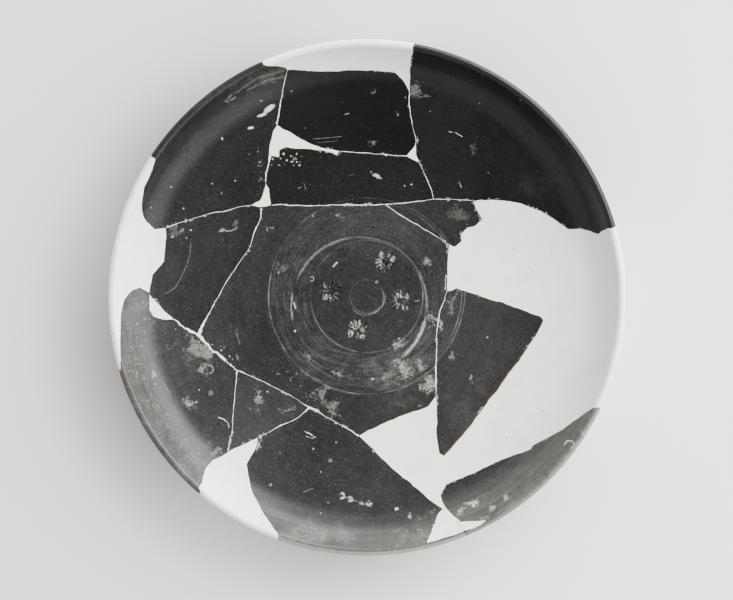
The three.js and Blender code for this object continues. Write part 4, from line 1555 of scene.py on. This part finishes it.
            arcs=(Arc((209, 369), 2.2, 20.0, 150.0, 1.0, 0.5), Arc((157, 371), 2.6, 230.0, 60.0, 0.7, 0.5)),
            strokes=(
                Stroke(((218, 417), (224, 419), (228, 423), (228.5, 427)), 0.8, 0.9),
                Stroke(((163, 382), (169, 393)), 0.5, 0.4),
            ),
        ),
    ),
    "sherd_small_triangle": GlossFinish(
        depth=0.034, wear=0.28,
        deposit=Marks(
            patches=(
                Patch((258, 400), (2.4, 4.4), 0, 0.6, 1.5, 600),
                Patch((268, 391), (1.2, 1.2), 0, 0.9, 0.9, 700),
                Patch((280, 387), (2.2, 1.8), 0, 0.7, 1.3, 700),
                Patch((287, 410), (3.4, 1.4), 10, 0.5, 1.5, 700),
            ),
            sprays=(
                Patch((282, 384), (9.0, 2.4), -35, 1.1, 0.9, 300),
                Patch((252, 398), (3.0, 6.0), 0, 0.8, 0.9, 300),
            ),
        ),
    ),
    "sherd_bottom": GlossFinish(
        depth=0.02, wear=0.3, specks=0.3, rim_wear_and_highlight=0.5, crest_wear_and_highlight=1.0, wall_lightened_from=122.0, worn_to=135.0,
        deposit=Marks(
            strokes=(
                Stroke(((304, 431), (309, 433), (315, 437)), 1.0, 0.9),
                Stroke(((306, 436), (313, 438)), 0.6, 0.6), Stroke(((303, 492), (313, 488)), 0.5, 0.35),
                Stroke(((352, 499), (362, 503.5)), 0.5, 0.45),
            ),
            arcs=(
                Arc((342, 495.5), 1.3, 0.0, 180.0, 1.4, 0.9), Arc((350, 498.8), 1.2, 0.0, 180.0, 1.4, 0.8),
            ),
            patches=(
                Patch((369, 504), (1.8, 1.5), 20, 1.2, 0.8, 600),
                Patch((362, 503.2), (1.4, 0.8), -20, 1.0, 0.8),
                Patch((348.5, 498.2), (2.8, 1.0), -20, 1.4, 0.6, 600),
                Patch((396.5, 508.5), (1.8, 1.1), 30, 2.0, 0.4), Patch((280, 453), (1.4, 1.2), 0, 0.5),
                Patch((410, 516), (0.8, 1.8), 0, 0.7, 0.8),
                Patch((340, 408), (3.4, 2.0), -40, 0.5, 1.0, 400),
                Patch((330, 460), (0.9, 0.9), 0, 0.5, 0.8), Patch((270, 484), (0.9, 0.8), 0, 0.5, 0.8),
                Patch((335, 484), (0.8, 0.6), 0, 0.5, 0.8), Patch((258, 446), (1.6, 2.6), 0, 0.4, 1.0, 500),
            ),
            sprays=(
                Patch((424, 536), (18, 8), 16, 0.95, 0.7, 200),
                Patch((395, 548), (22, 4), 12, 0.7, 0.7, 200),
                Patch((330, 415), (9.0, 3.0), -38, 0.8, 0.9, 200),
            ),
        ),
        clouds_and_highlights=Marks(
            patches=(
                # The second patch, long and up the wall, is a painted highlight
                Patch((424, 534), (17, 9), 20, 0.3, 0.8, 300), Patch((314, 533), (30, 7), 0, 1.0, 0.4, 120),
            ),
        ),
    ),
    "sherd_right_triangle": GlossFinish(
        depth=0.026, wear=0.3, band_wear=0.1,
        deposit=Marks(
            patches=(
                Patch((451, 356), (1.8, 2.4), 0, 0.6, 1.0), Patch((471, 377), (1.0, 1.4), -30, 0.9, 0.8),
                Patch((450, 305), (3.0, 5.0), 0, 0.4, 1.0, 400), Patch((491, 342), (1.0, 0.8), 0, 0.7, 0.8),
                Patch((441, 326), (1.4, 3.4), 0, 0.9, 1.0, 500),
            ),
        ),
        clouds_and_highlights=Marks(patches=(Patch((462, 415), (14, 26), -25, 0.16, 0.6, 120),)),
    ),
    "sherd_lower_right": GlossFinish(
        depth=0.02, wear=0.3, specks=0.3, rim_wear_and_highlight=0.75, wall_lightened_from=112.0, worn_to=136.0, crest_wear_and_highlight=0.35,
        deposit=Marks(
            patches=(
                Patch((471, 503), (4.4, 1.7), 10, 1.6, 0.9, 600),
                Patch((460, 511), (3.2, 1.8), 40, 0.9, 1.0, 500),
                Patch((493, 508), (1.8, 1.0), 30, 0.8, 1.2, 700),
                Patch((507, 497.5), (1.8, 1.0), 40, 0.9, 1.2, 700),
                Patch((573, 446), (1.6, 0.9), 40, 1.2, 0.8, 700), Patch((484, 495), (1.0, 0.8), 0, 0.6),
                Patch((482, 518), (4.0, 1.6), 20, 0.7, 1.0, 400),
            ),
            strokes=(Stroke(((565, 444), (567.5, 440.5), (572, 440.5), (575, 443.5)), 0.9, 1.2),),
            sprays=(
                Patch((588, 430), (3.4, 17), -32, 1.4, 0.6, 200),
                Patch((466, 508), (12, 4), 30, 1.0, 0.8, 200),
            ),
        ),
        clouds_and_highlights=Marks(patches=(Patch((545, 478), (42, 5), 38, 0.35, 0.7, 200),)),
    ),
    "sherd_lip": GlossFinish(wear=0.36, rim_wear_and_highlight=0.5, crest_wear_and_highlight=1.0),
}

FILL_DIRT: dict[str, Marks] = {
    "fill_left_rim": Marks(
        sprays=(
            Patch((113, 276), (3.0, 4.6), 0, 5.0, 0.3, 300),
            Patch((113, 342), (3.0, 17), -4, 4.0, 0.4, 300),
            Patch((134, 196), (2.0, 4.0), -25, 3.0, 0.5, 300),
            Patch((122, 236), (1.6, 12), -14, 0.7, 0.9, 300),
        ),
    ),
    "fill_right": Marks(
        sprays=(Patch((611, 380), (2.2, 13), 10, 1.2, 0.8, 300),),
        patches=(
            Patch((593, 255), (0.7, 0.6), 0, 0.5), Patch((550, 243), (0.6, 0.6), 0, 0.4),
            Patch((593, 327), (0.6, 0.7), 0, 0.4), Patch((604, 229.5), (1.0, 0.8), 0, 0.9),
            Patch((404, 441), (0.6, 0.6), 0, 0.4), Patch((390, 458), (0.5, 0.6), 0, 0.3),
        ),
    ),
    "fill_bottom_rim": Marks(
        strokes=(Stroke(((457, 520.5), (463, 528), (468, 535)), 0.5, 0.9),),
        patches=(
            Patch((438.5, 526), (1.0, 1.2), 0, 0.55, 0.9), Patch((434.5, 537), (1.0, 0.9), 0, 0.55, 0.9),
            Patch((442, 538), (0.8, 0.7), 0, 0.45, 0.9), Patch((444, 527), (7.0, 5.0), 0, 0.1, 0.8, 200),
        ),
        sprays=(
            Patch((441, 519), (7.0, 4.0), 20, 0.5, 0.9, 300),
            Patch((462, 538), (9.0, 2.0), 24, 0.7, 0.9, 300),
        ),
    ),
}


@dataclass
class MendedDish:
    """All sherds and plaster fills, each cut from the turned dish."""

    form: TurnedForm
    relief: Relief
    network: BreakNetwork
    chart: PictureMap
    effects: Effects
    slip: float = 2.3
    crease: float = 32.0

    def dish(self, name: str, plain: bool, shift: float) -> bpy.types.Object:
        """The whole dish as an object to cut pieces from."""
        mesh = TurnedDish(self.form, self.relief, self.network).mesh(name, plain, shift)
        made = bpy.data.objects.new(name, mesh)
        bpy.context.collection.objects.link(made)
        return made

    def finish(self, name: str, mesh: bpy.types.Mesh, slot: Slot) -> None:
        """Dresses a cut piece and puts it in place of its frame piece."""
        mesh.name = name
        mesh.shade_smooth()
        mesh.set_sharp_from_angle(angle=math.radians(self.crease))
        piece = bpy.data.objects.new(f"{name}_surface", mesh)
        bpy.context.collection.objects.link(piece)
        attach(piece, "root")
        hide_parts(name)
        log.info("%s: %d faces", piece.name, len(mesh.polygons))

    def build(self) -> None:
        """Cuts and dresses every piece."""
        clay = ClayFinish().material(self.effects)
        plaster = PlasterFinish("smoothed_plaster").material(self.effects, self.chart)
        whole = {
            "sound": self.dish("sound_dish", False, 0.0),
            "slipped": self.dish("slipped_dish", False, self.slip),
            "plain": self.dish("plaster_dish", True, 0.0),
        }
        for name in sorted(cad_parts):
            is_sherd = name.startswith(SHERD_PREFIX)
            if is_sherd:
                dish = whole["slipped" if name == SLIPPED_SHERD else "sound"]
                surface = SHERD_FINISHES[name].material(f"gloss_of_{name}", self.effects, self.chart)
            else:
                dish = whole["plain"]
                surface = plaster
                if name in FILL_DIRT:
                    finish = PlasterFinish(f"plaster_of_{name}", dirt=FILL_DIRT[name])
                    surface = finish.material(self.effects, self.chart)
            dish.data.materials.clear()
            dish.data.materials.append(surface)
            mesh = self.network.cut(name, dish, clay if is_sherd else surface)
            self.finish(name, mesh, Slot.GLOSS if is_sherd else Slot.PLASTER)
        for dish in whole.values():
            bpy.data.objects.remove(dish)


@dataclass(frozen=True)
class Widening:
    """A place where a seam is wider; its sizes are in millimetres."""

    place: Place
    extra: float
    reach: float


@dataclass
class Seams:
    """Plaster pressed into the joints between sherds, a little proud of both faces."""

    form: TurnedForm
    relief: Relief
    network: BreakNetwork
    chart: PictureMap
    effects: Effects
    reach: float = 0.9
    shortest: float = 3.0
    half_width: float = 0.27
    chip_reach: float = 0.55
    crown: float = 0.1
    sunk: float = 0.22
    core: float = 0.1
    outside_share: float = 0.8
    across: int = 7
    widenings: tuple[Widening, ...] = (
        Widening((184, 325), 0.6, 9.0),
        Widening((199, 337), 1.0, 7.0),
        Widening((213, 350), 0.9, 8.0),
        Widening((226, 361), 0.4, 6.0),
        Widening((312, 409), 0.5, 4.0),
        Widening((359, 436), 0.4, 4.0),
        Widening((439, 325), 0.35, 3.0),
        Widening((437.5, 345), 0.3, 6.0),
        Widening((436.5, 375), 0.45, 8.0),
        Widening((277, 110), 0.35, 10.0),
        Widening((270, 168), 0.5, 4.0),
        Widening((263, 213), 0.4, 3.0),
        Widening((414, 158), 0.4, 4.0),
        Widening((409, 95), 0.4, 8.0),
        Widening((288, 205), 0.3, 8.0),
    )

    def runs(self) -> list[tuple[str, np.ndarray]]:
        """The middle line of every joint between two sherds, with a name for it."""
        names = sorted(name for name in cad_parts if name.startswith(SHERD_PREFIX))
        outlines = {name: self.network.outline(name) for name in names}
        found = []
        for index, name in enumerate(names):
            for other in names[index + 1 :]:
                tree = kdtree.KDTree(len(outlines[other]))
                for number, (x, y) in enumerate(outlines[other]):
                    tree.insert((x, y, 0), number)
                tree.balance()
                nearest = [tree.find((x, y, 0)) for x, y in outlines[name]]
                near = np.array([hit[2] < self.reach for hit in nearest])
                if not near.any():
                    continue
                middle = (outlines[name] + np.array([hit[0][:2] for hit in nearest])) / 2
                for number, run in enumerate(self.stretches(near, middle)):
                    tail = f"_{number + 1}" if number else ""
                    joint = f"{name}_{other}".replace(SHERD_PREFIX, "")
                    found.append((f"seam_{joint}{tail}", run))
        return found

    def stretches(self, near: np.ndarray, middle: np.ndarray) -> list[np.ndarray]:
        """The unbroken stretches of an outline that lie against a neighbour."""
        if near.all():
            return [middle]
        first = next(i for i in range(len(near)) if not near[i])
        near, middle = np.roll(near, -first), np.roll(middle, -first, axis=0)
        edges = np.flatnonzero(np.diff(near.astype(int)))
        starts, ends = edges[::2] + 1, edges[1::2] + 1
        if len(ends) < len(starts):
            ends = np.append(ends, len(near))
        runs = [middle[start:end] for start, end in zip(starts, ends, strict=True)]
        long_enough = self.shortest / self.network.step
        return [run for run in runs if len(run) > long_enough]

    def face(self, flat: np.ndarray, side: Side) -> tuple[np.ndarray, np.ndarray]:
        """Points and normals of a face of the dish, from places at the rim's level."""
        line = self.form.inside() if side is Side.INSIDE else self.form.outside()
        normals = normals_of(line) if side is Side.INSIDE else -normals_of(line)
        spread = np.maximum.accumulate(self.network.at_rim_level(np.insert(line, 1, 0, axis=1))[:, 0])
        radius = np.linalg.norm(flat, axis=1)
        unit = flat / np.maximum(radius, 1e-9)[:, None]
        profile = [np.interp(radius, spread, column) for column in (*line.T, *normals.T)]
        r, z, nr, nz = profile
        height = self.relief.body(unit * r[:, None])
        height *= smooth_step(self.form.rim_radius - 3, self.form.rim_radius - 8, r)
        normal = np.column_stack([unit * nr[:, None], nz])
        normal /= np.linalg.norm(normal, axis=1)[:, None]
        return np.column_stack([unit * r[:, None], z]) + normal * height[:, None], normal

    def widths(self, run: np.ndarray, spots: np.ndarray, seed: int) -> np.ndarray:
        """Half width of a seam along its line, on one side of it."""
        slow = 0.45 * lattice_noise(run, 5.5, 71)
        quick = 0.55 * lattice_noise(run, 1.6, seed)
        width = self.half_width * (1 + slow + quick)
        chips = smooth_step(0.42, 0.8, lattice_noise(run, 2.2, seed + 1))
        chips *= smooth_step(-0.2, 0.6, lattice_noise(run, 19, 74))
        width += self.chip_reach * chips
        for spot, widening in zip(spots, self.widenings, strict=True):
            away = np.linalg.norm(run - spot, axis=1)
            rough = 0.7 + 0.9 * lattice_noise(run, 1.3, seed + 2)
            width += widening.extra * np.exp(-((away / widening.reach) ** 2)) * rough
        return np.maximum(width, 0.15)

    def build(self) -> None:
        """Makes every seam as one closed ribbon that fills its joint from face to face."""
        material = PlasterFinish(
            "seam_plaster", light=(0.8, 0.79, 0.76), dark=(0.62, 0.605, 0.57), soiling=0.35, specks=0.1
        ).material(self.effects, self.chart)
        depth = self.form.height - self.form.floor_level
        spots = np.array([self.chart.on_dish(w.place) for w in self.widenings])
        spots *= self.network.focus_rise / (self.network.focus_rise + depth)
        lateral = np.linspace(-1, 1, self.across)
        for name, run in self.runs():
            smoothed = run.copy()
            smoothed[1:-1] = (run[:-2] + 2 * run[1:-1] + run[2:]) / 4
            across = normals_of(smoothed)
            taper = smooth_step(-1, 1.5, np.minimum(np.arange(len(run)), np.arange(len(run))[::-1]))
            width = {side: self.widths(smoothed, spots, seed) * taper for side, seed in ((-1, 81), (1, 91))}
            columns = []
            for side, order in ((Side.INSIDE, lateral), (Side.OUTSIDE, -lateral)):
                share = 1.0 if side is Side.INSIDE else self.outside_share
                for place in order:
                    half = width[-1 if place < 0 else 1]
                    flat = smoothed + across * (half * place * share)[:, None]
                    point, normal = self.face(flat, side)
                    lift = self.crown * (1 - place**2) - self.sunk * place**2
                    lift = lift * (1 + 0.5 * lattice_noise(point, 1.8, 75))
                    lift = lift + 0.04 * lattice_noise(point, 0.9, 76)
                    columns.append(point + normal * lift[:, None])
                columns += self.core_columns(smoothed, across, side)
            points = np.stack(columns, axis=1)
            ring = points.shape[1]
            count = len(points)
            faces = [
                tube_faces(count, ring),
                np.arange(ring),
                (np.arange(ring) + ring * (count - 1))[::-1],
            ]
            mesh = mesh_in_metres(name, points.reshape(-1, 3), faces)
            mesh.shade_smooth()
            mesh.materials.append(material)
            seam = bpy.data.objects.new(name, mesh)
            bpy.context.collection.objects.link(seam)
            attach(seam, "root")
            log.info("%s: %d faces", name, len(mesh.polygons))

    def core_columns(self, line: np.ndarray, across: np.ndarray, side: Side) -> list[np.ndarray]:
        """The narrow sides of a seam inside its joint, going on from one face to the other."""
        inner = self.face(line, Side.INSIDE)[0]
        outer = self.face(line, Side.OUTSIDE)[0]
        sign = 1 if side is Side.INSIDE else -1
        aside = np.column_stack([across * (sign * self.core), np.zeros(len(line))])
        shares = (0.3, 0.7) if side is Side.INSIDE else (0.7, 0.3)
        return [inner + (outer - inner) * share + aside for share in shares]


@dataclass(frozen=True)
class Lamp:
    """A soft light aimed at the dish.

    Its turn goes round the dish from +X and its rise is above the floor, both in
    degrees. Its power is in watts, and its width and height are in metres.
    """

    name: str
    turn: float
    rise: float
    power: float
    size: tuple[float, float]


@dataclass
class Studio:
    """Pale floor, soft light and the camera above the dish."""

    chart: PictureMap
    frame_across: float = 733.0
    frame_down: float = 600.0
    sensor: float = 36.0
    floor_half: float = 6.0
    lamp_distance: float = 1.6
    shade_side: float = 0.68
    bright_side: float = 1.6
    brightest_towards: tuple[float, float, float] = (0.85, 0.2, 0.48)
    dim_overhead: float = 0.6
    painted_light_towards: tuple[float, float, float] = (0.8, -0.6, 0.0)
    floor_shaded_colour: tuple[float, float, float] = (0.74, 0.735, 0.725)
    floor_lit_colour: tuple[float, float, float] = (0.87, 0.865, 0.855)
    brighter_between: tuple[float, float] = (0.1, 0.9)
    overhead_between: tuple[float, float] = (0.7, 0.92)
    painted_light_between: tuple[float, float] = (-0.25, 0.3)
    lamps: tuple[Lamp, ...] = (
        Lamp("high_softbox", turn=34.0, rise=40.0, power=10.5, size=(1.3, 1.1)),
        Lamp("low_strip", turn=64.0, rise=8.0, power=13.0, size=(2.0, 0.3)),
    )

    def camera(self) -> None:
        """Puts the camera where the picture was taken from."""
        form = self.chart.form
        rim = Vector((0, 0, form.height * MM))
        reach = self.chart.view_distance * MM
        step = form.rim_radius / self.chart.rim_across * MM
        right = (self.frame_across / 2 - self.chart.axis_right) * step
        up = (self.chart.axis_down - self.frame_down / 2) * step
        aim = rim + Vector((right, up, 0))
        place = rim + Vector((0, reach * self.chart.view_shear, reach))
        data = bpy.data.cameras.new("camera")
        data.sensor_width = self.sensor
        data.lens = self.sensor / self.frame_across * (place - rim).length / step
        camera = bpy.data.objects.new("camera", data)
        ahead = (aim - place).normalized()
        across = ahead.cross(Vector((0, 1, 0))).normalized()
        turn = Matrix((across, across.cross(ahead), -ahead)).transposed()
        camera.matrix_world = Matrix.LocRotScale(place, turn, None)
        bpy.context.collection.objects.link(camera)
        bpy.context.scene.camera = camera

    def light(self, lamp: Lamp) -> None:
        """Adds a lamp, turned to the dish."""
        data = bpy.data.lights.new(lamp.name, "AREA")
        data.shape = "RECTANGLE"
        data.size, data.size_y = lamp.size
        data.energy = lamp.power
        made = bpy.data.objects.new(lamp.name, data)
        rise = math.radians(lamp.rise)
        flat = on_circle(self.lamp_distance * math.cos(rise), lamp.turn)
        made.location = (*flat, self.lamp_distance * math.sin(rise))
        made.rotation_euler = (-Vector(made.location)).to_track_quat("-Z", "Y").to_euler()
        bpy.context.collection.objects.link(made)

    def floor(self) -> None:
        """Lays the pale floor, whose colour is lighter towards one side as a painted light falloff."""
        half = self.floor_half / MM
        corners = np.array([[-half, -half, 0], [half, -half, 0], [half, half, 0], [-half, half, 0]])
        mesh = mesh_in_metres("floor", corners, [np.arange(4)])
        made = bpy.data.materials.new("pale_floor")
        made.use_nodes = True
        tree = ShaderTree(made.node_tree)
        # Painted light falloff: the floor's colour is lighter towards one side, with a random cloud
        towards = tree.measure("DOT_PRODUCT", tree.place(), self.painted_light_towards)
        paler = tree.fade(towards, *self.painted_light_between)
        cloud = tree.math("MULTIPLY_ADD", tree.noise(tree.place(), 3.0, 4.0), 0.2, paler)
        colour = tree.blend(cloud, self.floor_shaded_colour, self.floor_lit_colour)
        shader = tree.add("BsdfPrincipled", {"Base Color": colour, "Roughness": 0.9})
        out = tree.add("OutputMaterial")
        tree.tree.links.new(shader.outputs["BSDF"], out.inputs["Surface"])
        mesh.materials.append(made)
        floor = bpy.data.objects.new("floor", mesh)
        bpy.context.collection.objects.link(floor)

    def surround(self) -> None:
        """Lights the room softly, more from one side and less from straight above."""
        world = bpy.data.worlds.new("soft_surround")
        world.use_nodes = True
        tree = ShaderTree(world.node_tree)
        direction = tree.add("TexCoord").outputs["Generated"]
        towards = tree.measure("DOT_PRODUCT", direction, self.brightest_towards)
        share = tree.fade(towards, *self.brighter_between)
        strength = tree.math("MULTIPLY_ADD", share, self.bright_side - self.shade_side, self.shade_side)
        upward = tree.measure("DOT_PRODUCT", direction, (0, 0, 1))
        overhead = tree.fade(upward, *self.overhead_between)
        kept = tree.math("MULTIPLY_ADD", overhead, -self.dim_overhead, 1.0)
        strength = tree.times(strength, kept)
        back = tree.add("Background", {"Color": (1, 1, 1), "Strength": strength})
        out = tree.add("OutputWorld")
        tree.tree.links.new(back.outputs["Background"], out.inputs["Surface"])
        bpy.context.scene.world = world

    def build(self) -> None:
        """Sets up floor, lights, surroundings and camera."""
        self.floor()
        for lamp in self.lamps:
            self.light(lamp)
        self.surround()
        view = bpy.context.scene.view_settings
        view.view_transform = "Filmic"
        view.look = "Very High Contrast"
        self.camera()


def main() -> None:
    """Builds the dish piece by piece and sets the scene round it."""
    logging.basicConfig(level=logging.INFO, format="%(name)s %(message)s")
    low, high = cad_box
    form = TurnedForm(rim_radius=(high[0] - low[0]) / 2 / MM, height=(high[2] - low[2]) / MM)
    chart = PictureMap(form)
    relief = Relief(form)
    network = BreakNetwork(form)
    effects = Effects()
    MendedDish(form, relief, network, chart, effects).build()
    Seams(form, relief, network, chart, effects).build()
    Studio(chart).build()


if __name__ == "__main__":
    main()
